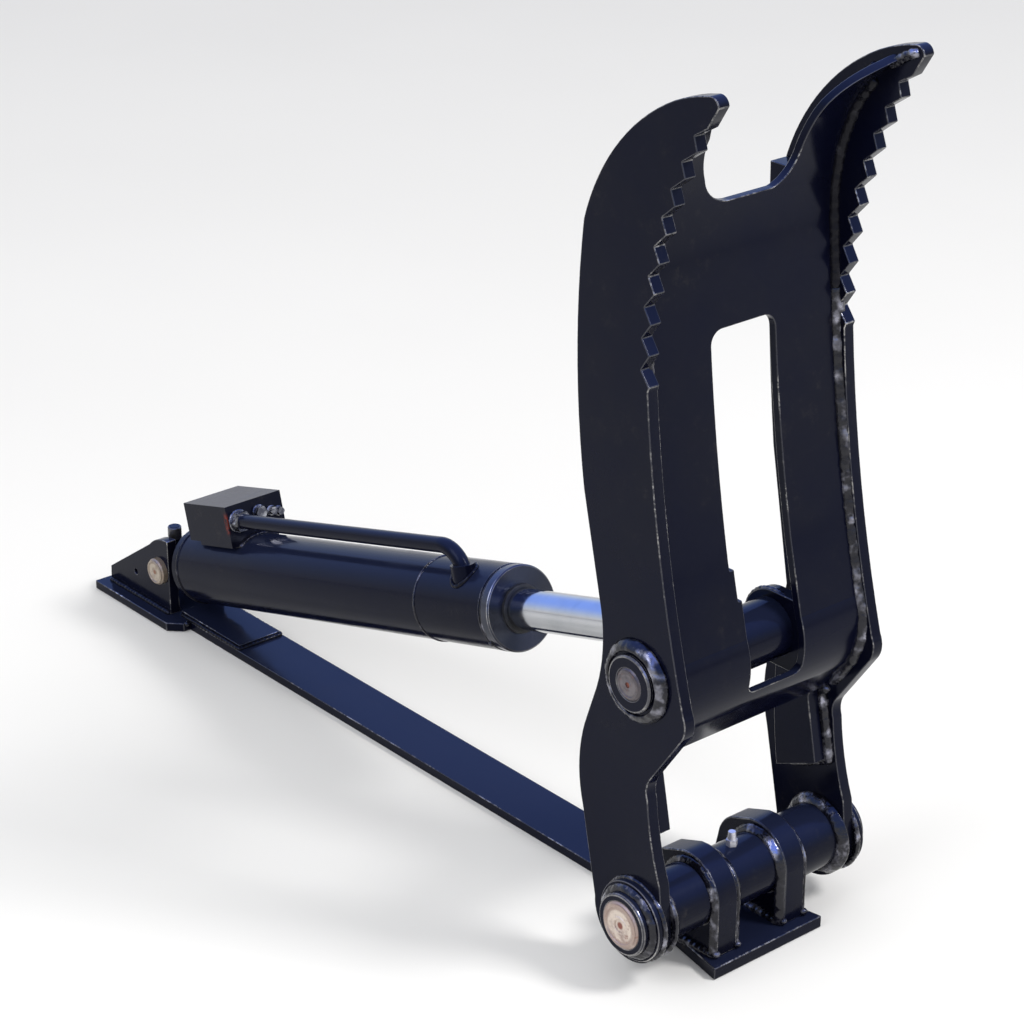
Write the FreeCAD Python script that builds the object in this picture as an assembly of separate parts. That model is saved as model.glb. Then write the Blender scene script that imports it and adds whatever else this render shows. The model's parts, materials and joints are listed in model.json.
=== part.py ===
import FreeCAD, Part
import math
import os

# Hydraulic thumb for a mini excavator stick, in millimetres.
# +X points to the working side, +Y to the right side, +Z away from the stick.
# The origin lies on the weld face under the pivot base, directly below the thumb pivot.

# Plate stock and the widths across the thumb
plate_t = 12.0
outer_width = 242.0
half_out = outer_width / 2
half_in = half_out - plate_t
face_t = 8.0
doubler_t = 19.0
lug_t = 14.0
end_gap = 0.3

# Heights that part the face plate into a head, two stiles, two steps and a foot
face_head_z = 582.0
face_step_z = 384.0
face_foot_z = 320.0

# Height at which the face plate's front reaches the side plates' tips
face_top_z = 812.5

# Thumb pivot
pivot_z = 64.0
pivot_pin_r = 22.5
pivot_fit = 0.05
pivot_bush_t = 3.5
pivot_tube_r = 30.0
pivot_bush_len = 30.0
pivot_pin_over = 11.8
pivot_collar_r = 29.5
pivot_boss_r = 38.0
pivot_boss_t = 8.0
pivot_pin_half = half_out + pivot_boss_t + pivot_pin_over
pivot_tube_half = 60.0
inner_hub_r = 31.0

# Ears, base plate and strip
ear_r = 39.5
ear_back = -4.0
ear_t = 25.0
ear_inner = 30.0
base_t = 12.0
base_half = 68.0
base_front = 47.0
base_back = -72.0
strip_w = 60.0
strip_t = 10.0

# Cylinder pins and their places
rod_pin_x = -4.6
rod_pin_z = 298.2
rear_pin_x = -869.8
rear_pin_z = 57.9
small_pin_r = 15.0
small_fit = 0.05
rod_pin_over = 6.0
rod_collar_r = 26.0
rod_boss_r = 34.0
rod_boss_t = 6.0
rod_pin_half = half_out + rod_boss_t + rod_pin_over
rear_pin_half = 43.0

# Rear bracket
rear_half = 52.0
rear_back = rear_pin_x - 110.2
rear_front = rear_pin_x + 45.8
rear_ear_out = 36.0
rear_ear_t = 12.0
lap_t = 5.0
lap_front = rear_front + 90.0

# Cylinder, measured along its axis from the rear pin
bore_r = 35.0
barrel_wall = 7.5
barrel_r = bore_r + barrel_wall
rod_r = 20.0
run_fit = 0.05
barrel_start = 36.5
tube_start = 47.0
seam_at = 478.7
groove_at = 582.0
groove_w = 2.5
head_face = 595.0
gland_back = 550.0
rod_seal_back = gland_back + 12.0
rod_seal_len = 8.0
rod_seal_t = 5.0
wiper_len = 8.0
wiper_t = 3.8
wiper_over = 2.0
eye_r = 28.0
rear_eye_half = 23.5
rod_eye_half = 37.7
lug_r = 35.0
piston_at = 342.0
piston_len = 45.0
nut_len = 20.0
spigot_r = 14.0

# Port block and transfer tube
block_from = 75.0
block_to = 156.0
block_half = 36.0
block_shift = 2.0
block_low = barrel_r - 6.5
block_top = barrel_r + 39.0
block_ports = barrel_r + 17.5
port_r = 7.5
port_depth = 16.0
pipe_r = 8.0
pipe_bore_r = 5.5
pipe_y = -20.0
pipe_off = barrel_r + 20.5
pipe_bend = 30.0
pipe_end = 542.0

# Teeth on the front edges of the side plates
tooth_count = 9
tooth_high = 9.6
valley_top = (43.2, 789.0)
valley_mid = (1.6, 688.0)
valley_low = (-10.5, 579.7)

Y_DIR = FreeCAD.Vector(0, 1, 0)
X_DIR = FreeCAD.Vector(1, 0, 0)
Z_DIR = FreeCAD.Vector(0, 0, 1)
lift = math.degrees(math.atan2(rod_pin_z - rear_pin_z, rod_pin_x - rear_pin_x))
pin_to_pin = math.hypot(rod_pin_z - rear_pin_z, rod_pin_x - rear_pin_x)
small_hole_r = small_pin_r + small_fit
pivot_hole_r = pivot_pin_r + pivot_fit
rear_gap_half = rear_ear_out - rear_ear_t

os.makedirs("parts", exist_ok=True)


def save(name, *solids):
    """Write one named piece, or a group of equal pieces, as a STEP file."""
    shape = solids[0] if len(solids) == 1 else Part.makeCompound(list(solids))
    if not shape.isValid():
        raise ValueError(name + " is not a valid shape")
    shape.exportStep("parts/" + name + ".step")


def side_point(x, z, y=0.0):
    return FreeCAD.Vector(x, y, z)


def front_point(y, z):
    return FreeCAD.Vector(0, y, z)


def trace(start, steps, at=side_point):
    """Edges from start; a step is a point, or a pair of points for an arc."""
    edges = []
    here = start
    for step in steps:
        if isinstance(step[0], tuple):
            via, end = step
            edges.append(Part.Arc(at(*here), at(*via), at(*end)).toShape())
        else:
            end = step
            edges.append(Part.makeLine(at(*here), at(*end)))
        here = end
    return edges


def closed_face(start, steps, at=side_point):
    """Flat face inside the outline that the steps trace back to its start."""
    edges = trace(start, steps, at)
    first = at(*start)
    last = edges[-1].valueAt(edges[-1].LastParameter)
    if first.distanceToPoint(last) > 0.001:
        edges.append(Part.makeLine(last, first))
    return Part.Face(Part.Wire(edges))


def slab(start, steps, y0, y1):
    """Solid between y0 and y1 with a closed outline in X and Z."""
    face = closed_face(start, steps)
    face.translate(FreeCAD.Vector(0, y0, 0))
    return face.extrude(FreeCAD.Vector(0, y1 - y0, 0))


def cutter(start, steps, x0, x1):
    """Solid between x0 and x1 with a closed outline in Y and Z."""
    face = closed_face(start, steps, front_point)
    face.translate(FreeCAD.Vector(x0, 0, 0))
    return face.extrude(FreeCAD.Vector(x1 - x0, 0, 0))


def pin_y(r, y0, y1, x, z):
    return Part.makeCylinder(r, y1 - y0, side_point(x, z, y0), Y_DIR)


def ring_y(r_out, r_in, y0, y1, x, z):
    return pin_y(r_out, y0, y1, x, z).cut(pin_y(r_in, y0 - 1, y1 + 1, x, z))


def pin_x(r, x0, x1):
    return Part.makeCylinder(r, x1 - x0, FreeCAD.Vector(x0, 0, 0), X_DIR)


def ring_x(r_out, r_in, x0, x1):
    return pin_x(r_out, x0, x1).cut(pin_x(r_in, x0 - 1, x1 + 1))


def block(x0, x1, y0, y1, z0, z1):
    return Part.makeBox(x1 - x0, y1 - y0, z1 - z0, FreeCAD.Vector(x0, y0, z0))


def mirrored(shape):
    return shape.mirror(FreeCAD.Vector(0, 0, 0), Y_DIR)


def on_axis(shape):
    """Move a shape from the cylinder's own axes to its place on the rear pin."""
    placed = shape.copy()
    placed.rotate(FreeCAD.Vector(0, 0, 0), Y_DIR, -lift)
    placed.translate(side_point(rear_pin_x, rear_pin_z))
    return placed


def bevel_ends(solid, size, radius):
    """Bevel the round rims of the given radius on a turned piece."""
    rims = []
    for edge in solid.Edges:
        curve = edge.Curve
        if isinstance(curve, Part.Circle) and abs(curve.Radius - radius) < 0.001:
            rims.append(edge)
    return solid.makeChamfer(size, rims)


def valley_circle():
    """Centre, radius and end angles of the arc that carries the tooth valleys."""
    arc = Part.Arc(side_point(*valley_top), side_point(*valley_mid), side_point(*valley_low))
    circle = arc.toShape().Curve
    cx, cz = circle.Center.x, circle.Center.z
    angles = []
    for x, z in (valley_top, valley_low):
        angles.append(math.atan2(z - cz, x - cx) % (2 * math.pi))
    return cx, cz, circle.Radius, angles[0], angles[1]


def tooth_points():
    """Crest and valley points of the saw teeth, from the tip down."""
    cx, cz, radius, start, end = valley_circle()
    step = (end - start) / (tooth_count - 1)
    points = []
    for i in range(tooth_count):
        share = 0.34 + 0.02 * i
        a = start + step * (i + share)
        crest_r = radius - tooth_high
        points.append((cx + crest_r * math.cos(a), cz + crest_r * math.sin(a)))
        if i < tooth_count - 1:
            a = start + step * (i + 1)
            points.append((cx + radius * math.cos(a), cz + radius * math.sin(a)))
    return points


def side_plate():
    """Right side plate: round foot, waisted back, hooked tip and toothed front edge."""
    teeth = tooth_points()
    steps = [
        (-72.5, 146.1),
        ((-78.4, 190.0), (-69.1, 238.0)),
        (-57.4, 271.0),
        ((-50.4, 318.0), (-55.6, 357.0)),
        (-77.3, 452.0),
        ((-88.3, 590.0), (-82.3, 690.0)),
        ((-45.5, 760.4), (19.5, 811.7)),
        ((38.0, 818.9), (57.5, 823.8)),
        ((65.5, 822.3), (69.0, 816.0)),
        (57.5, 797.5),
        valley_top,
    ]
    steps += teeth
    steps += [
        (-2.0, 562.0),
        ((16.6, 427.5), (50.6, 286.0)),
        ((53.6, 273.0), (48.6, 260.0)),
        (12.0, 207.5),
        ((8.6, 197.0), (10.2, 187.0)),
        ((16.5, 147.0), (28.4, 107.8)),
        (33.0, 66.0),
        ((-11.0, 16.2), (-54.9, 62.0)),
    ]
    plate = slab((-54.9, 62.0), steps, half_in, half_out)
    for r, x, z in ((pivot_hole_r, 0, pivot_z), (small_hole_r, rod_pin_x, rod_pin_z)):
        plate = plate.cut(pin_y(r, half_in - 1, half_out + 1, x, z))
    return plate


face_front = trace((5.0, 221.0), [
    (27.5, 252.5),
    ((38.0, 281.0), (32.6, 322.0)),
    (16.2, 391.0),
    ((-7.0, 527.0), (-19.0, 650.0)),
    ((-17.5, 712.0), (-2.0, 759.0)),
    ((10.5, 777.5), (28.0, 795.0)),
    (50.0, face_top_z),
])
face_strip = Part.Wire(face_front).makeOffset2D(face_t, 0, True, True)


def across_thumb(face):
    """Extrude a face in X and Z over the whole width between the side plates."""
    moved = face.copy()
    moved.translate(FreeCAD.Vector(0, -half_in, 0))
    return moved.extrude(FreeCAD.Vector(0, 2 * half_in, 0))


def face_plate():
    """Curved plate between the side plates with its window and its U cut."""
    window = cutter((-38.7, 578.0), [
        ((-34.9, 587.2), (-25.7, 591.0)),
        (23.0, 591.0),
        ((32.2, 587.2), (36.0, 578.0)),
        (36.0, 279.0),
        ((33.4, 272.6), (27.0, 270.0)),
        (-20.0, 270.0),
        ((-26.4, 272.6), (-29.0, 279.0)),
        (-29.0, 356.0),
        (-33.5, 356.0),
        (-33.5, face_step_z),
        (-38.7, face_step_z),
    ], -80, 80)
    u_cut = cutter((-half_in - 1, face_top_z), [
        ((-78.0, 789.0), (-62.5, 765.0)),
        ((-57.5, 741.0), (-50.5, 724.6)),
        ((-39.0, 708.0), (-16.0, 700.0)),
        (32.0, 700.0),
        ((50.0, 711.0), (58.0, 731.0)),
        ((61.5, 750.0), (68.0, 771.0)),
        ((84.0, 793.0), (half_in + 1, face_top_z)),
        (half_in + 1, 850.0),
        (-half_in - 1, 850.0),
    ], -60, 120)
    return across_thumb(face_strip).cut(window).cut(u_cut)


def save_face_plate():
    """The face plate in simple parts that meet face to face around its window."""
    plate = face_plate()
    cuts = {
        "face_plate": (0, face_head_z, 900.0),
        "face_stile_left": (-1, face_step_z, face_head_z),
        "face_stile_right": (1, face_step_z, face_head_z),
        "face_step_left": (-1, face_foot_z, face_step_z),
        "face_step_right": (1, face_foot_z, face_step_z),
        "face_foot": (0, 200.0, face_foot_z),
    }
    for name, (side, low, high) in cuts.items():
        y0 = 0 if side > 0 else -half_out
        y1 = 0 if side < 0 else half_out
        save(name, largest(plate.common(block(-100, 100, y0, y1, low, high))))


def trim_behind_face(solid):
    """Leave only what lies behind the face plate's back surface."""
    corners = [(160.0, face_top_z), (160.0, 221.0), (5.0, 221.0)]
    edges = face_front + trace((50.0, face_top_z), corners)
    ahead = Part.Face(Part.Wire(edges))
    return solid.cut(across_thumb(ahead)).cut(across_thumb(face_strip))


def largest(shape):
    return max(shape.Solids, key=lambda s: s.Volume)


def doubler():
    """Stiffener bar on the inner face of the right side plate."""
    bar = slab((-40.0, 125.5), [
        ((-47.0, 215.0), (-38.0, 312.0)),
        (-62.0, 440.0),
        ((-74.0, 560.0), (-80.0, 697.0)),
        (-20.0, 697.0),
        (60.0, 600.0),
        (60.0, 232.0),
        (2.0, 232.0),
        (-4.5, 210.0),
        (8.3, 146.3),
    ], half_in - doubler_t, half_in)
    bar = largest(trim_behind_face(bar))
    return bar.cut(pin_y(small_hole_r, 0, half_in + 1, rod_pin_x, rod_pin_z))


def lug():
    """Inner lug on the face plate's back that carries the upper pin."""
    y0 = rod_eye_half + end_gap
    y1 = y0 + lug_t
    cheek = pin_y(lug_r, y0, y1, rod_pin_x, rod_pin_z)
    root = block(rod_pin_x, 60.0, y0, y1, rod_pin_z - lug_r, rod_pin_z + lug_r)
    cheek = largest(trim_behind_face(cheek.fuse(root).removeSplitter()))
    return cheek.cut(pin_y(small_hole_r, y0 - 1, y1 + 1, rod_pin_x, rod_pin_z))


def upper_pin_end():
    """Right end of the upper pin, with its grease hole and extractor hole."""
    y0 = rod_eye_half + end_gap
    pin = pin_y(small_pin_r, y0, rod_pin_half, rod_pin_x, rod_pin_z)
    pin = bevel_ends(pin, 1.5, small_pin_r)
    pin = pin.cut(pin_y(2.5, rod_pin_half - 20, rod_pin_half + 1, rod_pin_x, rod_pin_z))
    return pin.cut(pin_y(1.6, rod_pin_half - 8, rod_pin_half + 1, rod_pin_x, rod_pin_z + 8.5))


def lower_pin():
    pin = pin_y(pivot_pin_r, -pivot_pin_half, pivot_pin_half, 0, pivot_z)
    pin = bevel_ends(pin, 1.5, pivot_pin_r)
    for end in (-1, 1):
        mouth = end * (pivot_pin_half - 7)
        tip = end * (pivot_pin_half + 1)
        pin = pin.cut(pin_y(6.0, min(mouth, tip), max(mouth, tip), 0, pivot_z))
    return pin


def build_thumb():
    """Everything that swings with the thumb."""
    plate = side_plate()
    bar = doubler()
    cheek = lug()
    boss_u = half_out + rod_boss_t
    boss_l = half_out + pivot_boss_t
    pairs = {
        "side_plate": plate,
        "inner_doubler": bar,
        "pin_lug": cheek,
        "upper_boss": ring_y(rod_boss_r, small_hole_r, half_out, boss_u, rod_pin_x, rod_pin_z),
        "upper_collar": ring_y(rod_collar_r, small_hole_r, boss_u, rod_pin_half - 0.6,
                               rod_pin_x, rod_pin_z),
        "upper_pin": upper_pin_end(),
        "lower_boss": ring_y(pivot_boss_r, pivot_hole_r, half_out, boss_l, 0, pivot_z),
        "lower_collar": ring_y(pivot_collar_r, pivot_hole_r, boss_l, pivot_pin_half - 1.6,
                               0, pivot_z),
        "inner_hub": ring_y(inner_hub_r, pivot_hole_r, pivot_tube_half + end_gap, half_in,
                            0, pivot_z),
    }
    pairs["upper_collar"] = bevel_ends(pairs["upper_collar"], 1.2, rod_collar_r)
    pairs["lower_collar"] = bevel_ends(pairs["lower_collar"], 1.5, pivot_collar_r)
    for name, shape in pairs.items():
        save(name + "_right", shape)
        save(name + "_left", mirrored(shape))
    save_face_plate()
    save("lower_pin", lower_pin())


def pivot_ear():
    """Right ear of the pivot base, round on top and sloping down at the back."""
    front = ear_back + ear_r
    top = pivot_z + ear_r
    slant = ear_r * math.sqrt(0.5)
    ear = slab((-66.0, base_t), [
        (-52.5, 72.0),
        ((-47.5, 84.0), (-37.0, 93.5)),
        (ear_back - 8.0, top - 0.8),
        (ear_back, top),
        ((ear_back + slant, pivot_z + slant), (front, pivot_z)),
        (front, base_t),
    ], ear_inner, ear_inner + ear_t)
    return ear.cut(pin_y(pivot_tube_r, 0, 100, 0, pivot_z))


def build_base():
    """Everything that is welded to the stick."""
    corners = [(base_front, -base_half), (base_front, base_half), (base_back, 46.0),
               (base_back, -46.0)]
    wire = Part.makePolygon([FreeCAD.Vector(x, y, 0) for x, y in corners + corners[:1]])
    save("pivot_base_plate", Part.Face(wire).extrude(FreeCAD.Vector(0, 0, base_t)))
    ear = pivot_ear()
    save("pivot_ear_right", ear)
    save("pivot_ear_left", mirrored(ear))
    bush_r = pivot_hole_r + pivot_bush_t
    tube = ring_y(pivot_tube_r, bush_r, -pivot_tube_half, pivot_tube_half, 0, pivot_z)
    oil_hole = Part.makeCylinder(3.0, 12.0, FreeCAD.Vector(0, -5.0, pivot_z + bush_r - 3), Z_DIR)
    save("pivot_tube", tube.cut(oil_hole))
    bush = ring_y(bush_r, pivot_hole_r, pivot_tube_half - pivot_bush_len, pivot_tube_half,
                  0, pivot_z)
    save("pivot_bushes", bush, mirrored(bush))
    top = pivot_z + pivot_tube_r
    nipple = Part.makeCylinder(3.0, 7.5, FreeCAD.Vector(0, -5.0, top - 3.5), Z_DIR)
    hexagon = Part.Face(Part.makePolygon([
        FreeCAD.Vector(5.5 * math.cos(math.radians(a)), -5.0 + 5.5 * math.sin(math.radians(a)), top)
        for a in range(0, 361, 60)]))
    nipple = nipple.fuse(hexagon.extrude(FreeCAD.Vector(0, 0, 6.0)))
    nipple = nipple.fuse(Part.makeCone(4.2, 3.4, 8.0, FreeCAD.Vector(0, -5.0, top + 6), Z_DIR))
    save("pivot_nipple", nipple)
    save("long_strip", block(rear_front, base_back, -strip_w / 2, strip_w / 2, 0, strip_t))
    chamfer = 14.0
    corners = [(rear_back, -rear_half), (rear_front - chamfer, -rear_half)]
    corners += [(rear_front, -rear_half + chamfer), (rear_front, rear_half - chamfer)]
    corners += [(rear_front - chamfer, rear_half), (rear_back, rear_half)]
    wire = Part.makePolygon([FreeCAD.Vector(x, y, 0) for x, y in corners + corners[:1]])
    save("rear_base_plate", Part.Face(wire).extrude(FreeCAD.Vector(0, 0, strip_t)))
    save("lap_plate", block(rear_front - 20, lap_front, -strip_w / 2 + 3, strip_w / 2 - 3,
                            strip_t, strip_t + lap_t))
    ear = slab((rear_pin_x - 102.2, strip_t), [
        (rear_pin_x - 101.2, rear_pin_z - 30.9),
        (rear_pin_x - 19.2, rear_pin_z + 25.1),
        ((rear_pin_x + 3.3, rear_pin_z + 38.6), (rear_pin_x + 16.8, rear_pin_z + 40.1)),
        (rear_pin_x + 17.8, strip_t),
    ], rear_gap_half, rear_ear_out)
    ear = ear.cut(pin_y(small_hole_r, 0, 60, rear_pin_x, rear_pin_z))
    ear = ear.cut(pin_y(3.4, 0, 60, rear_pin_x - 49.2, rear_pin_z - 19.2))
    save("rear_ear_right", ear)
    save("rear_ear_left", mirrored(ear))
    pin = pin_y(small_pin_r, -rear_pin_half, rear_pin_half, rear_pin_x, rear_pin_z)
    pin = bevel_ends(pin, 2.0, small_pin_r)
    save("rear_pin", pin)


def transfer_pipe(radius):
    """Bent round bar along the transfer tube's middle line."""
    low = pipe_off - pipe_bend
    turn = math.radians(82)
    bend_x = pipe_end - pipe_bend
    start = FreeCAD.Vector(block_to, pipe_y, pipe_off)
    knee = FreeCAD.Vector(bend_x, pipe_y, pipe_off)
    via = FreeCAD.Vector(bend_x + pipe_bend * math.sin(turn / 2), pipe_y,
                         low + pipe_bend * math.cos(turn / 2))
    foot = FreeCAD.Vector(bend_x + pipe_bend * math.sin(turn), pipe_y,
                          low + pipe_bend * math.cos(turn))
    path = Part.Wire([Part.makeLine(start, knee), Part.Arc(knee, via, foot).toShape()])
    ring = Part.Wire(Part.makeCircle(radius, start, X_DIR))
    return path.makePipeShell([ring], True, False)


def build_barrel():
    """The cylinder barrel with its rear eye, head, block and transfer tube."""
    eye = ring_y(eye_r, small_hole_r + 3, -rear_eye_half, rear_eye_half, 0, 0)
    bush = ring_y(small_hole_r + 3, small_hole_r, -rear_eye_half, rear_eye_half, 0, 0)
    save("rear_eye", on_axis(eye))
    save("rear_eye_bush", on_axis(bush))
    cap = pin_x(barrel_r, barrel_start, tube_start)
    cap = cap.fuse(pin_x(bore_r, tube_start, tube_start + 8))
    neck = block(0, barrel_start, -rear_eye_half + 2, rear_eye_half - 2, -22, 22)
    cap = cap.fuse(neck).cut(pin_y(eye_r, -60, 60, 0, 0)).removeSplitter()
    cap = largest(cap)
    tube = ring_x(barrel_r, bore_r, tube_start, seam_at)
    sleeve = ring_x(barrel_r, bore_r, seam_at, groove_at - groove_w / 2)
    tube = bevel_ends(tube, 0.8, barrel_r)
    sleeve = bevel_ends(sleeve, 0.8, barrel_r)
    pipe = transfer_pipe(pipe_r)
    under = barrel_r - 22.5
    port = Part.makeCylinder(4.0, 30, FreeCAD.Vector(pipe_end - 2, pipe_y, under), Z_DIR)
    block_port = Part.makeCylinder(4.0, 30, FreeCAD.Vector(block_from + 22, 0, under), Z_DIR)
    envelope = pin_x(barrel_r, 0, head_face + 5)
    save("end_cap", on_axis(cap))
    save("barrel_tube", on_axis(tube.cut(block_port)))
    save("front_sleeve", on_axis(sleeve.cut(port)))
    gland = pin_x(bore_r, gland_back, head_face).fuse(pin_x(barrel_r, groove_at + groove_w / 2,
                                                            head_face))
    gland = bevel_ends(gland.removeSplitter(), 1.5, barrel_r)
    gland = gland.cut(pin_x(rod_r + run_fit, gland_back - 1, head_face + 1))
    seal_r = rod_r + rod_seal_t
    seal_front = rod_seal_back + rod_seal_len
    wiper_r = rod_r + wiper_t
    wiper_back = head_face - wiper_len
    gland = gland.cut(pin_x(seal_r, rod_seal_back, seal_front))
    gland = gland.cut(pin_x(wiper_r, wiper_back, head_face + 1))
    save("gland_head", on_axis(gland))
    save("rod_seal", on_axis(ring_x(seal_r, rod_r + run_fit, rod_seal_back, seal_front)))
    wiper = ring_x(wiper_r, rod_r + run_fit, wiper_back, head_face + wiper_over)
    save("rod_wiper", on_axis(wiper))
    y0 = block_shift - block_half
    y1 = block_shift + block_half
    body = block(block_from, block_to, y0, y1, block_low, block_top)
    body = body.cut(block(block_from - 1, block_from + 20, y0 - 1, y1 + 1, 0, block_low + 4))
    body = body.cut(envelope)
    port_at = (block_from + 22, block_from + 58)
    for x in port_at:
        mouth = FreeCAD.Vector(x, y1 - port_depth, block_ports)
        body = body.cut(Part.makeCylinder(port_r, port_depth, mouth, Y_DIR))
    passages = (
        (y1, FreeCAD.Vector(port_at[0], 0, block_ports), Y_DIR),
        (block_ports - block_low + 4, FreeCAD.Vector(port_at[0], 0, block_low - 2), Z_DIR),
        (y1 - pipe_y, FreeCAD.Vector(port_at[1], pipe_y, block_ports), Y_DIR),
        (60, FreeCAD.Vector(port_at[1] - 4, pipe_y, block_ports), X_DIR),
    )
    for length, start, way in passages:
        body = body.cut(Part.makeCylinder(4.0, length, start, way))
    save("port_block", on_axis(body))
    hollow = pipe.cut(transfer_pipe(pipe_bore_r)).cut(envelope)
    save("transfer_tube", on_axis(largest(hollow)))
    boss = Part.makeCylinder(12.5, 26, FreeCAD.Vector(pipe_end - 1.5, pipe_y, under), Z_DIR)
    save("tube_boss", on_axis(largest(boss.cut(envelope).cut(pipe))))
    nut = hex_along_x(11.5, block_to, block_to + 10, pipe_y, pipe_off).cut(pipe)
    save("tube_nut", on_axis(nut))
    plugs = []
    for r, y, up in ((7.0, 7.0, 23.0), (4.5, 22.5, 20.5), (4.5, 31.0, 18.0)):
        plug = hex_along_x(r, block_to, block_to + 7, y, barrel_r + up)
        plugs.append(on_axis(plug))
    save("block_plugs", *plugs)
    stub = Part.makeCylinder(5.8, 26, FreeCAD.Vector(rear_pin_x, -14.0, rear_pin_z + 22), Z_DIR)
    stub = stub.cut(pin_y(eye_r, -60, 60, rear_pin_x, rear_pin_z))
    save("eye_stub", largest(stub))


def hex_along_x(radius, x0, x1, y, z):
    corners = []
    for a in range(0, 361, 60):
        t = math.radians(a)
        corners.append(FreeCAD.Vector(x0, y + radius * math.cos(t), z + radius * math.sin(t)))
    return Part.Face(Part.makePolygon(corners)).extrude(FreeCAD.Vector(x1 - x0, 0, 0))


def build_rod():
    """The rod with its piston at one end and its cross tube at the other."""
    nut_at = piston_at - nut_len
    piston_end = piston_at + piston_len
    rod = pin_x(rod_r, piston_end, pin_to_pin).fuse(pin_x(spigot_r, nut_at - 4, piston_end))
    rod = largest(rod.removeSplitter().cut(pin_y(eye_r, -60, 60, pin_to_pin, 0)))
    save("rod", on_axis(rod))
    piston = ring_x(bore_r - 0.6, spigot_r, piston_at, piston_end)
    seat = (piston_at + 17, piston_at + 29)
    piston = piston.cut(ring_x(bore_r + 1, bore_r - 6, *seat))
    save("piston", on_axis(piston))
    save("piston_seal", on_axis(ring_x(bore_r - run_fit, bore_r - 6, *seat)))
    save("piston_nut", on_axis(hex_along_x(24.0, nut_at, piston_at, 0, 0).cut(
        pin_x(spigot_r, 0, 600))))
    bush_r = small_hole_r + 3
    for name, outer, inner in (("rod_eye", eye_r, bush_r), ("rod_eye_bush", bush_r, small_hole_r)):
        save(name, ring_y(outer, inner, -rod_eye_half, rod_eye_half, rod_pin_x, rod_pin_z))
    save("rod_eye_pin", pin_y(small_pin_r, -rod_eye_half, rod_eye_half, rod_pin_x, rod_pin_z))


build_thumb()
build_base()
build_barrel()
build_rod()
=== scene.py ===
"""Dresses a hydraulic thumb: finishes, rounded plate edges, welds, fittings and a plain studio."""

import json
import logging
import math
import random
from collections.abc import Iterator
from contextlib import contextmanager
from dataclasses import dataclass
from enum import Enum

import bpy
from mathutils import Matrix, Vector

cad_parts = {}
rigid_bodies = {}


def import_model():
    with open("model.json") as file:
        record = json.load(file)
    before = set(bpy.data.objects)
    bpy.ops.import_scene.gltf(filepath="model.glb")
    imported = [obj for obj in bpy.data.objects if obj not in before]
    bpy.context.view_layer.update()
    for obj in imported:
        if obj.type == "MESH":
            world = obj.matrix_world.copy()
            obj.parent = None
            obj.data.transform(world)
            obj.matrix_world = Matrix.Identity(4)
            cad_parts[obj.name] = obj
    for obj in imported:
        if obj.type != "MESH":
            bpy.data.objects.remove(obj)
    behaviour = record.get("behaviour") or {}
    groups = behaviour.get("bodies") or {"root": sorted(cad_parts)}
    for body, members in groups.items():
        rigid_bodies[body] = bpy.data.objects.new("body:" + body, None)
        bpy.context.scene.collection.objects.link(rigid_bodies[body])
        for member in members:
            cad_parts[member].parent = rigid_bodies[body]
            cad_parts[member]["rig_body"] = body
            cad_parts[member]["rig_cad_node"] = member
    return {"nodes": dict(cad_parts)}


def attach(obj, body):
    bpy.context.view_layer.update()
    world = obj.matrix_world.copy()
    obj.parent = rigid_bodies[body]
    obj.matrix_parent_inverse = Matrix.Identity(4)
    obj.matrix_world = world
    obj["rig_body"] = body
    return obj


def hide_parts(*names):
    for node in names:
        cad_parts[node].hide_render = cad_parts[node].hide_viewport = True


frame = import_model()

log = logging.getLogger("thumb")
Point = tuple[float, float, float]
Flat = tuple[float, float]
Profile = tuple[Flat, ...]
Colour = tuple[float, float, float]
Socket = bpy.types.NodeSocket
Feed = Socket | float | tuple[float, ...]

# Pins, as X and Z in millimetres
PIVOT: Flat = (0.0, 64.0)
UPPER_PIN: Flat = (-4.6, 298.2)
REAR_PIN: Flat = (-869.8, 57.9)

# Corners closer than this become one, in metres: of new pieces, of a CAD copy, of united copies
MERGE = 0.00002
COPY_MERGE = 0.000002
UNITED_MERGE = 0.00001
# Faces of a copy that meet at less than this become one, in degrees
FLAT = 0.4
# Edges sharper than this stay crisp, in degrees
WELD_CREASE = 80.0
PLATE_CREASE = 38.0
TURNED_CREASE = 30.0
# Edges of round pieces that turn more than this are rounded, in degrees
ROUND_SHARP = 38.0
# Size of the rounding on the thumb's plates and on its collars, in millimetres
PLATE_ROUND = 0.9
COLLAR_ROUND = 0.8
# Steps of a bead's line from one ripple to the next
RIPPLE_STEPS = 3.7
# Roughness of beads: size of its clouds, and depth for each millimetre of radius, in metres
BEAD_CLOUD = 0.0045
BEAD_DEPTH = 0.00028
# Roughness of fillets: size and depth of each layer of clouds, in metres
FILLET_CLOUDS = ((0.0080, 0.0016), (0.0035, 0.0004))
# Steps of a fillet along its leg, in millimetres, and round its pin, in degrees
LEG_STEP = 3.0
SPIN_STEP = 4.0
# Least radius of a turned profile, in millimetres, where the profile says zero
TIP_R = 0.02


class Body(Enum):
    """The moving bodies of the thumb."""

    BASE = "base"
    THUMB = "thumb"
    BARREL = "barrel"
    ROD = "rod"


class Slot(Enum):
    """The record's material slots."""

    PAINT = "black_paint"
    PIN = "pin_steel"
    SEAL = "seal_rubber"
    ZINC = "zinc_fitting"


class Side(Enum):
    """Left lies on -Y and right on +Y."""

    LEFT = -1
    RIGHT = 1

    @property
    def word(self) -> str:
        """The word used at the end of a node's name."""
        return self.name.lower()


# Finishes


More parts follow.
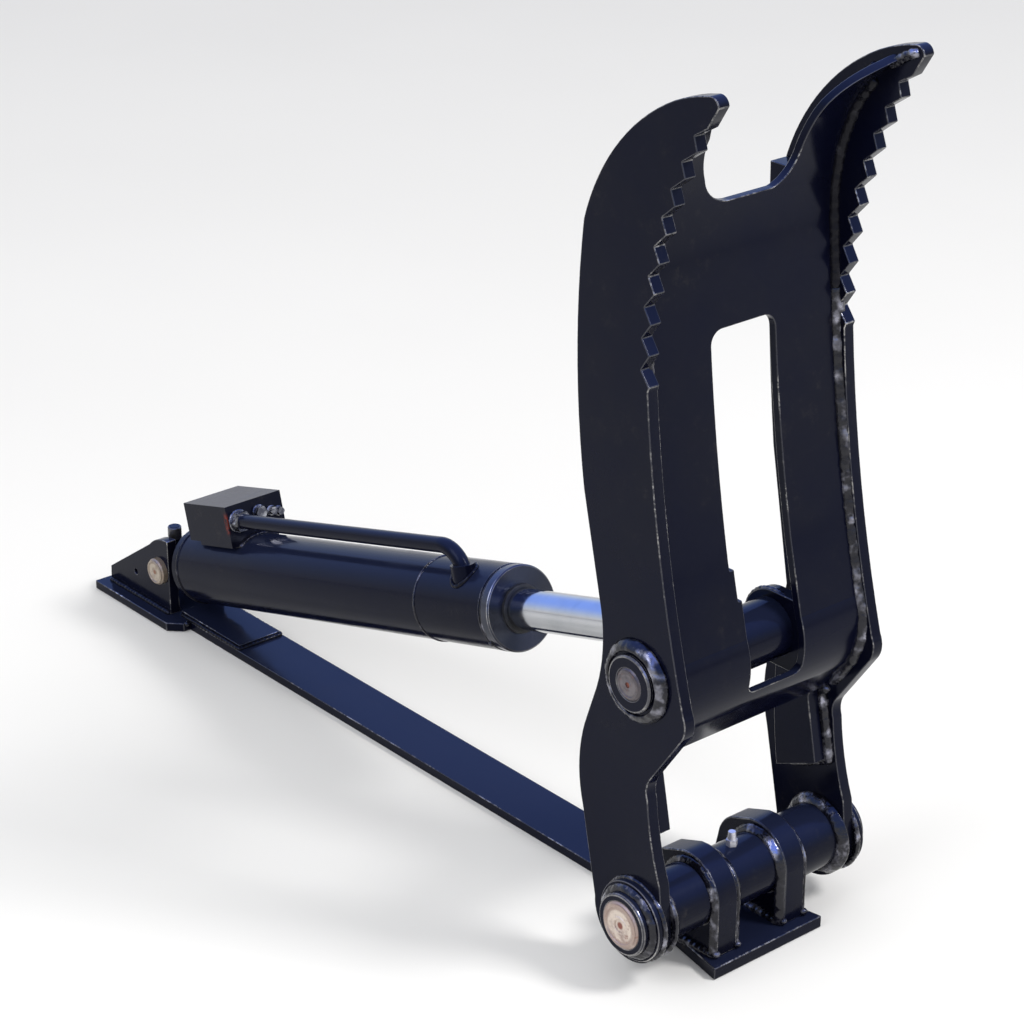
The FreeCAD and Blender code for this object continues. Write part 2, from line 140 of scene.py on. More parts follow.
class Tree:
    """A node tree with short ways to lay nodes in it."""

    def __init__(self, tree: bpy.types.NodeTree) -> None:
        """Empty the tree.

        Args:
            tree: the tree of a material or of the world.
        """
        self.tree = tree
        tree.nodes.clear()

    def feed(self, target: Socket, value: Feed) -> None:
        """Link a socket to an input, or set the input's value."""
        if isinstance(value, Socket):
            self.tree.links.new(value, target)
        else:
            target.default_value = value

    def node(self, kind: str, inputs: dict[str | int, Feed] | None = None,
             **settings: str) -> bpy.types.Node:
        """Lay a node.

        Args:
            kind: the node's type, without its prefix.
            inputs: what each input gets, a socket or a value.
            **settings: the node's own settings.

        Returns:
            The node.
        """
        node = self.tree.nodes.new("ShaderNode" + kind)
        for key, value in settings.items():
            setattr(node, key, value)
        for key, value in (inputs or {}).items():
            self.feed(node.inputs[key], value)
        return node

    def reckon(self, operation: str, first: Feed, second: Feed = 0.0) -> Socket:
        """Work out one value from one or two others."""
        return self.node("Math", {0: first, 1: second}, operation=operation).outputs[0]

    def blend(self, share: Socket, first: Feed, second: Feed) -> Socket:
        """Mix two colours.

        Args:
            share: how much of the second colour shows.
            first: a colour, or a socket that gives one.
            second: the other colour.

        Returns:
            The mixed colour.
        """
        inputs: dict[str | int, Feed] = {"Factor": share}
        for key, colour in ((6, first), (7, second)):
            inputs[key] = colour if isinstance(colour, Socket) else (*colour, 1.0)
        return self.node("Mix", inputs, data_type="RGBA").outputs[2]


class Sheet(Tree):
    """A material with ways to lay noise, marks and relief on it."""

    def __init__(self, name: str) -> None:
        """Start a material with a surface shader.

        Args:
            name: name of the material.
        """
        self.material = bpy.data.materials.new(name)
        self.material.use_nodes = True
        super().__init__(self.material.node_tree)
        self.shader = self.node("BsdfPrincipled")
        self.node("OutputMaterial", {"Surface": self.shader.outputs["BSDF"]})
        self.coords = self.node("TexCoord").outputs
        self.place = self.coords["Object"]

    def shade(self, inputs: dict[str, Feed]) -> None:
        """Link or set inputs of the surface shader."""
        for key, value in inputs.items():
            self.feed(self.shader.inputs[key], value)

    def noise(self, scale: float, detail: float = 4.0, rough: float = 0.55,
              stretch: Point = (1.0, 1.0, 1.0), shift: Point = (0.0, 0.0, 0.0)) -> Socket:
        """Noise over the piece's own place.

        Args:
            scale: features per metre.
            detail: octaves.
            rough: how strong the fine octaves are.
            stretch: scale along each axis before the noise.
            shift: move before the noise.

        Returns:
            The noise value from 0 to 1.
        """
        mapping = self.node("Mapping", {"Vector": self.place, "Scale": stretch, "Location": shift})
        return self.node("TexNoise", {"Vector": mapping.outputs["Vector"], "Scale": scale,
                                      "Detail": detail, "Roughness": rough}).outputs[0]

    def spread(self, source: Socket, low: float, high: float, to_low: float = 0.0,
               to_high: float = 1.0) -> Socket:
        """Stretch a value between two marks to a new range.

        Args:
            source: the value.
            low: where the new range starts.
            high: where it ends.
            to_low: lowest new value.
            to_high: highest new value.

        Returns:
            The new value.
        """
        return self.node("MapRange", {"Value": source, "From Min": low, "From Max": high,
                                      "To Min": to_low, "To Max": to_high},
                         interpolation_type="SMOOTHSTEP").outputs["Result"]

    def times(self, first: Socket, second: Socket) -> Socket:
        """Multiply two values."""
        return self.reckon("MULTIPLY", first, second)

    def relief(self, height: Socket, strength: float, depth: float) -> None:
        """Add a bump to the surface, after those that it already has.

        Args:
            height: the height value.
            strength: share of the bump that shows.
            depth: height in metres.
        """
        bump = self.node("Bump", {"Strength": strength, "Distance": depth, "Height": height})
        links = self.shader.inputs["Normal"].links
        if links:
            self.feed(bump.inputs["Normal"], links[0].from_socket)
        self.shade({"Normal": bump.outputs["Normal"]})

    def facing_up(self) -> Socket:
        """How far the surface faces up on its own body, 0 to 0.8; masks the painted sky sheen."""
        split = self.node("SeparateXYZ", {0: self.coords["Normal"]})
        return self.spread(split.outputs["Z"], 0.2, 0.95, 0.0, 0.8)

    def vector(self, operation: str, first: Feed, second: Feed = (0.0, 0.0, 0.0)
               ) -> bpy.types.Node:
        """Lay a node that works on vectors."""
        return self.node("VectorMath", {0: first, 1: second}, operation=operation)

    def reach_along(self, start: Point, way: Point) -> Socket:
        """Distance along a direction.

        Args:
            start: where the distance is zero.
            way: a direction of length one.

        Returns:
            The distance in metres.
        """
        away = self.vector("SUBTRACT", self.place, start).outputs["Vector"]
        return self.vector("DOT_PRODUCT", away, way).outputs["Value"]

    def radius_about(self, start: Point, way: Point) -> Socket:
        """Distance from a straight line.

        Args:
            start: a point on the line.
            way: the line's direction, of length one.

        Returns:
            The distance in metres.
        """
        away = self.vector("SUBTRACT", self.place, start).outputs["Vector"]
        cross = self.vector("CROSS_PRODUCT", away, way).outputs["Vector"]
        return self.vector("LENGTH", cross).outputs["Value"]

    def rings(self, away: Socket, per_metre: float) -> Socket:
        """Fine concentric waves.

        Args:
            away: distance from the rings' centre.
            per_metre: phase gained per metre.

        Returns:
            The wave from -1 to 1.
        """
        return self.reckon("SINE", self.reckon("MULTIPLY", away, per_metre))


@dataclass(frozen=True)
class BlackPaint:
    """Sprayed gloss black with dust, a slight orange peel and a painted sky reflection."""

    name: str = "gloss_black"
    chip_at: Point | None = None
    chip_way: Point = (1.0, 0.0, 0.0)
    primer: Colour = (0.17, 0.022, 0.010)
    # The blue in deep and worn is a painted sky reflection; noise mixes the two as uneven tone.
    deep: Colour = (0.0022, 0.0028, 0.0105)
    worn: Colour = (0.0046, 0.0050, 0.0105)
    dust: Colour = (0.026, 0.024, 0.025)
    # film: a bluer colour on up-facing faces, a painted reflection of the sky
    film: Colour = (0.012, 0.0165, 0.043)
    gloss: tuple[float, float] = (0.09, 0.24)
    level: float = 0.10
    # cast tints the paint's reflections blue, a painted sky reflection.
    cast: Colour = (0.66, 0.74, 1.0)
    ring_line: tuple[Point, Point] | None = None

    def make(self) -> bpy.types.Material:
        """Build the material."""
        sheet = Sheet(self.name)
        cloud = sheet.noise(7.0, 5.0, 0.6)
        colour = sheet.blend(sheet.spread(cloud, 0.35, 0.7), self.deep, self.worn)
        fine = sheet.noise(60.0, 8.0, 0.75, shift=(3.1, 1.7, 0.4))
        patch = sheet.times(sheet.spread(fine, 0.52, 0.78), sheet.spread(cloud, 0.42, 0.72))
        colour = sheet.blend(patch, colour, self.dust)
        # Painted sky sheen: faces that look up are blended towards a bluer colour.
        colour = sheet.blend(sheet.facing_up(), colour, self.film)
        if self.chip_at is not None:
            colour = self._chip(sheet, colour)
        smear = sheet.noise(16.0, 6.0, 0.7, stretch=(1.0, 1.0, 0.35))
        # Specular Tint from cast paints the reflections blue.
        sheet.shade({"Base Color": colour, "Roughness": sheet.spread(smear, 0.3, 0.75, *self.gloss),
                     "Specular IOR Level": self.level, "Specular Tint": (*self.cast, 1.0)})
        sheet.relief(sheet.noise(9.0, 2.0, 0.4), 0.25, 0.0012)
        sheet.relief(sheet.noise(420.0, 2.0, 0.5), 0.05, 0.0002)
        if self.ring_line is not None:
            sheet.relief(sheet.rings(sheet.radius_about(*self.ring_line), 7000.0), 0.45, 0.0001)
        return sheet.material

    def _chip(self, sheet: Sheet, colour: Socket) -> Socket:
        """Let red primer show in a strip that ends at one edge."""
        near = sheet.spread(sheet.reach_along(self.chip_at, self.chip_way), -0.0075, -0.0015)
        low = sheet.reach_along(self.chip_at, (-self.chip_way[2], 0.0, self.chip_way[0]))
        high = sheet.times(sheet.spread(low, -0.014, -0.004), sheet.spread(low, 0.016, 0.006))
        left = sheet.spread(sheet.reach_along(self.chip_at, (0.0, -1.0, 0.0)), -0.002, -0.0002)
        worn = sheet.spread(sheet.noise(230.0, 5.0, 0.7), 0.36, 0.60)
        share = sheet.times(sheet.times(near, high), sheet.times(left, worn))
        return sheet.blend(share, colour, self.primer)


@dataclass(frozen=True)
class EdgePaint:
    """The same paint on a cut edge, thinner, lighter and worn through to steel in places."""

    name: str = "rubbed_edge"
    # Lighter than the main paint: partly wear, partly a painted edge highlight.
    paint: Colour = (0.013, 0.014, 0.023)
    rubbed: Colour = (0.36, 0.35, 0.34)
    share: float = 0.56
    gloss: tuple[float, float] = (0.16, 0.36)

    def make(self) -> bpy.types.Material:
        """Build the material."""
        sheet = Sheet(self.name)
        # Bare steel patches: partly wear, partly a painted edge highlight.
        wear_and_highlight = sheet.times(sheet.spread(sheet.noise(22.0, 5.0, 0.7), 0.48, 0.66),
                          sheet.spread(sheet.noise(240.0, 6.0, 0.7), self.share - 0.12, self.share))
        sheet.shade({"Base Color": sheet.blend(wear_and_highlight, self.paint, self.rubbed),
                     "Metallic": sheet.spread(wear_and_highlight, 0.0, 1.0, 0.0, 0.7),
                     "Roughness": sheet.spread(sheet.noise(90.0), 0.3, 0.7, *self.gloss)})
        sheet.relief(sheet.noise(500.0, 4.0, 0.6), 0.35, 0.0002)
        return sheet.material


@dataclass(frozen=True)
class WeldPaint:
    """Painted weld bead, glossy and rough, with lighter metallic patches as painted sheen."""

    name: str = "painted_weld"
    low: Colour = (0.007, 0.007, 0.012)
    # high: colour of the painted sheen patches
    high: Colour = (0.32, 0.32, 0.38)
    gloss: tuple[float, float] = (0.12, 0.26)
    rubbed: tuple[float, float] = (0.46, 0.68)
    coat: float = 0.28

    def make(self) -> bpy.types.Material:
        """Build the material."""
        sheet = Sheet(self.name)
        grain = sheet.noise(75.0, 3.0, 0.5)
        wash = sheet.noise(34.0, 4.0, 0.6)
        # Painted sheen: lighter metallic patches where both noises are high.
        share = sheet.times(sheet.spread(grain, *self.rubbed), sheet.spread(wash, 0.40, 0.62))
        sheet.shade({"Base Color": sheet.blend(share, self.low, self.high),
                     "Metallic": sheet.spread(share, 0.0, 1.0, 0.2, 0.9),
                     "Roughness": sheet.spread(wash, 0.3, 0.7, *self.gloss),
                     "Specular IOR Level": self.coat, "Coat Weight": self.coat,
                     "Coat Roughness": 0.12})
        sheet.relief(sheet.noise(130.0, 2.0, 0.5), 0.8, 0.0018)
        sheet.relief(grain, 0.2, 0.0006)
        return sheet.material


@dataclass(frozen=True)
class TurnedSteel:
    """Bare turned pin face with fine rings, grey stains and rust round the middle."""

    name: str
    centre: Flat
    bright: Colour = (0.66, 0.57, 0.49)
    stain: Colour = (0.36, 0.27, 0.23)
    rust: Colour = (0.20, 0.050, 0.030)
    rust_r: float = 0.0030
    rim_r: float = 0.0150
    metal: float = 0.35
    rim_share: float = 0.55

    def make(self) -> bpy.types.Material:
        """Build the material."""
        sheet = Sheet(self.name)
        away = sheet.radius_about(mm(self.centre[0], 0.0, self.centre[1]), (0.0, 1.0, 0.0))
        cloud = sheet.noise(85.0, 6.0, 0.7)
        colour = sheet.blend(sheet.spread(cloud, 0.42, 0.72), self.bright, self.stain)
        rim = sheet.spread(away, self.rim_r * 0.93, self.rim_r * 1.07, 0.0, self.rim_share)
        colour = sheet.blend(sheet.times(rim, sheet.spread(cloud, 0.2, 0.5)), colour, self.stain)
        ring = sheet.spread(away, self.rust_r * 0.75, self.rust_r * 1.5, 1.0, 0.0)
        spots = sheet.spread(sheet.noise(260.0, 5.0, 0.7), 0.56, 0.7, 0.0, 0.55)
        rusty = sheet.reckon("MAXIMUM", ring, spots)
        sheet.shade({"Base Color": sheet.blend(rusty, colour, self.rust),
                     "Metallic": sheet.spread(rusty, 0.0, 1.0, self.metal, 0.1),
                     "Roughness": sheet.spread(cloud, 0.3, 0.7, 0.28, 0.5)})
        sheet.relief(sheet.rings(away, 5200.0), 0.3, 0.0001)
        sheet.relief(cloud, 0.3, 0.0004)
        return sheet.material


@dataclass(frozen=True)
class HardChrome:
    """Polished rod chrome with faint haze."""

    name: str = "rod_chrome"
    colour: Colour = (0.49, 0.50, 0.52)
    haze: Colour = (0.37, 0.39, 0.41)

    def make(self) -> bpy.types.Material:
        """Build the material."""
        sheet = Sheet(self.name)
        cloud = sheet.spread(sheet.noise(20.0, 5.0, 0.6), 0.4, 0.75)
        smear = sheet.noise(55.0, 7.0, 0.7)
        sheet.shade({"Base Color": sheet.blend(cloud, self.colour, self.haze), "Metallic": 1.0,
                     "Roughness": sheet.spread(smear, 0.3, 0.8, 0.07, 0.20)})
        sheet.relief(sheet.noise(900.0, 2.0, 0.5), 0.06, 0.00005)
        return sheet.material


@dataclass(frozen=True)
class PlainMetal:
    """A cast, bronze or plated metal with stains and a fine grain."""

    name: str
    colour: Colour
    stain: Colour
    rough: tuple[float, float] = (0.3, 0.5)
    metal: float = 0.9

    def make(self) -> bpy.types.Material:
        """Build the material."""
        sheet = Sheet(self.name)
        cloud = sheet.noise(120.0, 6.0, 0.7)
        stains = sheet.spread(cloud, 0.42, 0.7)
        sheet.shade({"Base Color": sheet.blend(stains, self.colour, self.stain),
                     "Metallic": sheet.spread(cloud, 0.4, 0.75, self.metal, self.metal * 0.5),
                     "Roughness": sheet.spread(cloud, 0.3, 0.7, *self.rough)})
        sheet.relief(sheet.noise(700.0, 3.0, 0.6), 0.3, 0.0002)
        return sheet.material


@dataclass(frozen=True)
class Rubber:
    """Black seal rubber with a light bloom."""

    name: str = "seal_black"
    colour: Colour = (0.012, 0.012, 0.013)
    bloom: Colour = (0.05, 0.05, 0.05)

    def make(self) -> bpy.types.Material:
        """Build the material."""
        sheet = Sheet(self.name)
        cloud = sheet.noise(150.0, 5.0, 0.6)
        bloomed = sheet.spread(cloud, 0.45, 0.8)
        sheet.shade({"Base Color": sheet.blend(bloomed, self.colour, self.bloom),
                     "Roughness": sheet.spread(cloud, 0.3, 0.7, 0.45, 0.65)})
        sheet.relief(cloud, 0.2, 0.0002)
        return sheet.material


@dataclass(frozen=True)
class PaleFloor:
    """Matt pale floor of the studio."""

    name: str = "pale_floor"
    colour: Colour = (0.86, 0.86, 0.86)

    def make(self) -> bpy.types.Material:
        """Build the material."""
        sheet = Sheet(self.name)
        share = sheet.spread(sheet.noise(1.5, 3.0, 0.5), 0.3, 0.7)
        other = tuple(c * 0.985 for c in self.colour)
        sheet.shade({"Base Color": sheet.blend(share, self.colour, other), "Roughness": 0.9,
                     "Specular IOR Level": 0.1})
        return sheet.material


class Finishes:
    """All finishes of the thumb, each made once."""

    def __init__(self, line: "CylinderLine") -> None:
        """Make every material.

        Args:
            line: the cylinder's axis, along which the port block and the head are marked.
        """
        along = tuple(Vector(line.at(1.0, 0.0, 0.0)) - Vector(line.at(0.0, 0.0, 0.0)))
        self.paint = BlackPaint().make()
        self.block = BlackPaint("block_black", mm(*line.at(156.0, -34.0, 62.0)), along).make()
        # A lighter black than the main paint on the turned head: a painted highlight.
        self.turned = BlackPaint("turned_black", deep=(0.010, 0.011, 0.017),
                                 worn=(0.016, 0.016, 0.021), level=0.6,
                                 ring_line=(mm(*line.at(0.0, 0.0, 0.0)), along)).make()
        self.edge = EdgePaint().make()
        # A still lighter edge paint with more bare steel: partly wear, partly a painted edge
        # highlight.
        self.bright_edge = EdgePaint("bright_edge", (0.06, 0.06, 0.07), share=0.47).make()
        self.plate = (self.paint, self.edge)
        self.weld = WeldPaint().make()
        # A shaded copy of the weld finish, with little painted sheen, for welds that catch little
        # light.
        self.dark_weld = WeldPaint("dark_weld", (0.006, 0.006, 0.010), (0.10, 0.10, 0.12),
                                   (0.20, 0.42), (0.56, 0.76), 0.10).make()
        self.lower_pin = TurnedSteel("lower_pin_face", PIVOT, rim_share=0.95).make()
        self.upper_pin = TurnedSteel("upper_pin_face", UPPER_PIN, (0.14, 0.125, 0.135),
                                     (0.055, 0.047, 0.052), (0.16, 0.04, 0.02), 0.0022,
                                     0.0095).make()
        self.rear_pin = TurnedSteel("rear_pin_face", REAR_PIN, (0.42, 0.36, 0.29),
                                    (0.20, 0.15, 0.11), (0.20, 0.08, 0.04), 0.0022, 0.0095,
                                    0.4).make()
        self.chrome = HardChrome().make()
        self.cast = PlainMetal("cast_grey", (0.22, 0.22, 0.22), (0.10, 0.09, 0.085)).make()
        self.bronze = PlainMetal("bush_bronze", (0.55, 0.33, 0.12), (0.26, 0.15, 0.07)).make()
        self.zinc = PlainMetal("fitting_zinc", (0.075, 0.077, 0.095), (0.42, 0.42, 0.43),
                               (0.16, 0.30)).make()
        self.nipple = PlainMetal("nipple_zinc", (0.62, 0.62, 0.68), (0.34, 0.34, 0.38),
                                 (0.20, 0.34), 0.6).make()
        self.dull = PlainMetal("fitting_dull", (0.12, 0.12, 0.13), (0.035, 0.033, 0.035),
                               (0.25, 0.45), 0.8).make()
        self.rubber = Rubber().make()


# Hand tools


def mm(x: float, y: float, z: float) -> Point:
    """A place given in millimetres, as metres."""
    return (x / 1000.0, y / 1000.0, z / 1000.0)


def arc_points(start: Flat, via: Flat, end: Flat, step: float = 4.0) -> list[Flat]:
    """Points on the arc through three points.

    Args:
        start: first point.
        via: a point between.
        end: last point.
        step: distance between points.

    Returns:
        Points from start to end.
    """
    ax, az = start
    bx, bz = via
    cx, cz = end
    d = 2 * (ax * (bz - cz) + bx * (cz - az) + cx * (az - bz))
    a2, b2, c2 = ax * ax + az * az, bx * bx + bz * bz, cx * cx + cz * cz
    ux = (a2 * (bz - cz) + b2 * (cz - az) + c2 * (az - bz)) / d
    uz = (a2 * (cx - bx) + b2 * (ax - cx) + c2 * (bx - ax)) / d
    radius = math.hypot(ax - ux, az - uz)
    t0, tm, t1 = (math.atan2(z - uz, x - ux) for x, z in (start, via, end))
    sweep = (t1 - t0) % (2 * math.pi)
    if (tm - t0) % (2 * math.pi) > sweep:
        sweep -= 2 * math.pi
    count = max(2, round(abs(sweep) * radius / step))
    return [(ux + radius * math.cos(t0 + sweep * i / count),
             uz + radius * math.sin(t0 + sweep * i / count)) for i in range(count + 1)]


def line_of(*parts: Flat | list[Flat]) -> list[Flat]:
    """Join single points and lists of points to one open line."""
    line: list[Flat] = []
    for part in parts:
        line += part if isinstance(part, list) else [part]
    return line


def at_side(line: list[Flat], y: float) -> list[Point]:
    """Lift points in X and Z to a plane at y."""
    return [(x, y, z) for x, z in line]


def turns(start: float = 0.0, end: float = 360.0, step: float = 5.0) -> list[float]:
    """Angles in radians, about a step of degrees apart, from start to end."""
    count = max(6, round((end - start) / step))
    return [math.radians(start + (end - start) * i / count) for i in range(count + 1)]


def circle_about(pin: Flat, y: float, radius: float, start: float = 0.0,
                 end: float = 360.0) -> list[Point]:
    """Points on a circle round a pin, angles from +X towards +Z."""
    x, z = pin
    return [(x + radius * math.cos(t), y, z + radius * math.sin(t)) for t in turns(start, end)]


@dataclass(frozen=True)
class CylinderLine:
    """The cylinder's own axes: along it from the rear pin, and up across it."""

    rear: Flat = REAR_PIN
    front: Flat = UPPER_PIN

    @property
    def way(self) -> Flat:
        """Direction of the axis in X and Z, of length one."""
        dx = self.front[0] - self.rear[0]
        dz = self.front[1] - self.rear[1]
        size = math.hypot(dx, dz)
        return (dx / size, dz / size)

    def at(self, along: float, y: float, up: float) -> Point:
        """A place on the cylinder, in the object's millimetres."""
        c, s = self.way
        return (self.rear[0] + along * c - up * s, y, self.rear[1] + along * s + up * c)

    def ring(self, along: float, radius: float, start: float = 0.0,
             end: float = 360.0) -> list[Point]:
        """Points on a circle round the cylinder's axis, angles from +Y towards up."""
        return [self.at(along, radius * math.cos(t), radius * math.sin(t))
                for t in turns(start, end)]

    def turn(self) -> Matrix:
        """Rotation that lays the world's Z along the cylinder's axis."""
        return Matrix.Rotation(math.atan2(*self.way), 4, "Y")


class Bench:
    """Hand tools, each working on one object through Blender's own operators."""

    @staticmethod
    def clear() -> None:
        """Leave edit mode and deselect everything."""
        if bpy.context.object is not None and bpy.context.object.mode != "OBJECT":
            bpy.ops.object.mode_set(mode="OBJECT")
        bpy.ops.object.select_all(action="DESELECT")

    @staticmethod
    def pick(piece: bpy.types.Object) -> None:
        """Select one object alone and make it active."""
        Bench.clear()
        piece.select_set(True)
        bpy.context.view_layer.objects.active = piece

    @staticmethod
    @contextmanager
    def editing(piece: bpy.types.Object) -> Iterator[None]:
        """Enter edit mode with all of an object's mesh selected, and leave it at the end."""
        Bench.pick(piece)
        bpy.ops.object.mode_set(mode="EDIT")
        bpy.ops.mesh.select_all(action="SELECT")
        yield
        bpy.ops.object.mode_set(mode="OBJECT")

    @staticmethod
    def named(name: str) -> bpy.types.Object:
        """Name the object that was just added."""
        piece = bpy.context.view_layer.objects.active
        piece.name = name
        piece.data.name = name
        return piece

    @staticmethod
    def loop(name: str, points: list[Point]) -> bpy.types.Object:
        """Make a closed line of edges through points in millimetres."""
        Bench.clear()
        bpy.ops.mesh.primitive_circle_add(vertices=len(points), fill_type="NOTHING")
        piece = Bench.named(name)
        for vertex, point in zip(piece.data.vertices, points):
            vertex.co = mm(*point)
        return piece

    @staticmethod
    def finish_with(piece: bpy.types.Object, kind: str, **settings: object) -> None:
        """Add a modifier with its settings and apply it.

        Args:
            piece: the object.
            kind: the modifier's type.
            **settings: its values.
        """
        Bench.pick(piece)
        modifier = piece.modifiers.new(kind.lower(), kind)
        for key, value in settings.items():
            setattr(modifier, key, value)
        bpy.ops.object.modifier_apply(modifier=modifier.name)

    @staticmethod
    def roughen(piece: bpy.types.Object, size: float, depth: float) -> None:
        """Push the surface in and out in clouds.

        Args:
            piece: the object.
            size: size of the clouds in metres.
            depth: how far the surface moves in metres.
        """
        grain = bpy.data.textures.new(piece.name + "_grain", "CLOUDS")
        grain.noise_scale = size
        Bench.finish_with(piece, "DISPLACE", texture=grain, strength=depth, mid_level=0.5,
                          texture_coords="LOCAL")

    @staticmethod
    def smooth(piece: bpy.types.Object, degrees: float) -> None:
        """Shade smooth, with edges sharper than the angle kept crisp."""
        Bench.pick(piece)
        bpy.ops.object.shade_smooth_by_angle(angle=math.radians(degrees))

    @staticmethod
    def outward(piece: bpy.types.Object) -> None:
        """Merge doubles and turn all faces outwards."""
        with Bench.editing(piece):
            bpy.ops.mesh.remove_doubles(threshold=MERGE)
            bpy.ops.mesh.normals_make_consistent(inside=False)

    @staticmethod
    def paint(piece: bpy.types.Object, *materials: bpy.types.Material) -> None:
        """Give an object its materials."""
        piece.data.materials.clear()
        for material in materials:
            piece.data.materials.append(material)

    @staticmethod
    def seat(piece: bpy.types.Object, body: Body, slot: Slot = Slot.PAINT) -> None:
        """Let a finished piece ride on its body and report it."""
        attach(piece, body.value)
        log.info("piece %s rides on %s", piece.name, body.value)

    @staticmethod
    def complete(piece: bpy.types.Object, crease: float, material: bpy.types.Material,
                 body: Body, slot: Slot = Slot.PAINT) -> None:
        """Shade, paint and seat a new piece.

        Args:
            piece: the object.
            crease: edges sharper than this stay crisp, in degrees.
            material: finish of the piece.
            body: the body that it rides on.
            slot: the record's slot, not used.
        """
        Bench.smooth(piece, crease)
        Bench.paint(piece, material)
        Bench.seat(piece, body, slot)


@dataclass
class Bead:
    """A weld bead laid along lines of points in millimetres, with ripples of its own."""

    name: str
    body: Body
    runs: list[list[Point]]
    radius: float
    wild: float = 0.16
    closed: bool = False
    # dark gives the bead the shaded copy of the weld finish.
    dark: bool = False

    def lay(self, finishes: Finishes) -> None:
        """Lay the bead as rippled tubes, roughen it and paint it.

        Args:
            finishes: the thumb's finishes.
        """
        rng = random.Random(self.name)
        Bench.clear()
        bpy.ops.curve.primitive_nurbs_path_add()
        piece = Bench.named(self.name)
        curve = piece.data
        curve.splines.clear()
        for run in self.runs:
            self._spline(curve, run, rng)
        curve.bevel_depth = self.radius / 1000.0
        curve.bevel_resolution = 3
        curve.use_fill_caps = True
        Bench.pick(piece)
        bpy.ops.object.convert(target="MESH")
        piece = Bench.named(self.name)
        Bench.outward(piece)
        Bench.roughen(piece, BEAD_CLOUD, self.radius * BEAD_DEPTH)
        Bench.complete(piece, WELD_CREASE, finishes.dark_weld if self.dark else finishes.weld,
                       self.body)

    def _spline(self, curve: bpy.types.Curve, run: list[Point], rng: random.Random) -> None:
        """Add one run to the curve, evenly divided and rippled."""
        points = self._even([Vector(p) for p in run], max(1.4, self.radius * 0.42))
        if self.closed:
            points = points[:-1]
        spline = curve.splines.new("POLY")
        spline.points.add(len(points) - 1)
        drift = 0.0
        for i, point in enumerate(points):
            drift = 0.8 * drift + 0.2 * rng.uniform(-1, 1)
            ripple = math.sin(2 * math.pi * i / RIPPLE_STEPS + drift * 4)
            taper = 1.0
            if not self.closed:
                taper = min(1.0, 0.55 + 0.25 * min(i, len(points) - 1 - i))
            spline.points[i].co = (*(point / 1000.0), 1.0)
            spline.points[i].radius = taper * (1 + self.wild * (0.35 * ripple + 0.6 * drift))
        spline.use_cyclic_u = self.closed

    @staticmethod
    def _even(points: list[Vector], step: float) -> list[Vector]:
        """Divide a line of points into even steps."""
        even = [points[0]]
        left = step
        for a, b in zip(points, points[1:]):
            size = (b - a).length
            done = 0.0
            while size - done >= left:
                done += left
                even.append(a.lerp(b, done / size))
                left = step
            left -= size - done
        if (even[-1] - points[-1]).length > step * 0.3:
            even.append(points[-1])
        return even


# Section of a broad weld, away from the round piece and up from the plate. Values are shares of
# its reach and rise. Those away under -1 and those up under 0 are millimetres.
WELD_SECTION: Profile = ((-1.2, -1.2), (1.0, -0.8), (0.97, 0.2), (0.76, 0.55), (0.45, 0.84),
                         (0.14, 1.0), (-0.1, 1.0), (-1.2, 0.7))


@dataclass
class Fillet:
    """A broad weld between a round piece along Y and a plate, with a straight leg below it."""

    name: str
    body: Body
    centre: Flat
    root_r: float
    face_y: float
    out: int
    reach: float
    rise: float
    start: float = 0.0
    end: float = 360.0
    leg: float = 0.0

    def lay(self, finishes: Finishes) -> None:
        """Spin the weld's section round the pin line, roughen it and paint it.

        Args:
            finishes: the thumb's finishes.
        """
        x, z = self.centre
        t = math.radians(self.start)
        section = []
        for along, up in WELD_SECTION:
            r = self.root_r + (along if along < -1 else along * self.reach)
            y = self.face_y + self.out * (up if up < 0 else up * self.rise)
            section.append((x + r * math.cos(t), y, z + r * math.sin(t) - self.leg))
        piece = Bench.loop(self.name, section)
        with Bench.editing(piece):
            if self.end - self.start < 360.0:
                bpy.ops.mesh.edge_face_add()
            parts = round(self.leg / LEG_STEP)
            for _ in range(parts):
                bpy.ops.mesh.extrude_region_move(
                    TRANSFORM_OT_translate={"value": (0, 0, self.leg / 1000.0 / parts)})
            bpy.ops.mesh.spin(steps=max(8, round((self.end - self.start) / SPIN_STEP)),
                              angle=math.radians(self.end - self.start), center=mm(x, 0.0, z),
                              axis=(0, 1, 0))
            bpy.ops.mesh.select_all(action="SELECT")
            bpy.ops.mesh.remove_doubles(threshold=MERGE)
            bpy.ops.mesh.fill_holes(sides=12)
        Bench.outward(piece)
        Bench.finish_with(piece, "SUBSURF", levels=1, render_levels=1)
        for size, depth in FILLET_CLOUDS:
            Bench.roughen(piece, size, depth)
        Bench.complete(piece, WELD_CREASE, finishes.weld, self.body)


def merged_copy(node: str) -> bpy.types.Object:
    """Copy a CAD node and merge its corners.

    Args:
        node: the CAD node.

    Returns:
        The copy, free of the node's own marks.
    """
    Bench.pick(frame["nodes"][node])
    bpy.ops.object.duplicate()
    piece = Bench.named(node + "_copy")
    piece.parent = None
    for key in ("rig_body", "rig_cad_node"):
        del piece[key]
    with Bench.editing(piece):
        bpy.ops.mesh.remove_doubles(threshold=COPY_MERGE)
    return piece


def united_copy(nodes: tuple[str, ...]) -> bpy.types.Object:
    """Copy CAD nodes that meet face to face and unite them, without the faces between.

    Args:
        nodes: the CAD nodes, each touching one before it.

    Returns:
        One closed shape.
    """
    piece = merged_copy(nodes[0])
    for node in nodes[1:]:
        other = merged_copy(node)
        Bench.finish_with(piece, "BOOLEAN", operation="UNION", solver="EXACT", object=other)
        Bench.pick(other)
        bpy.ops.object.delete()
    return piece


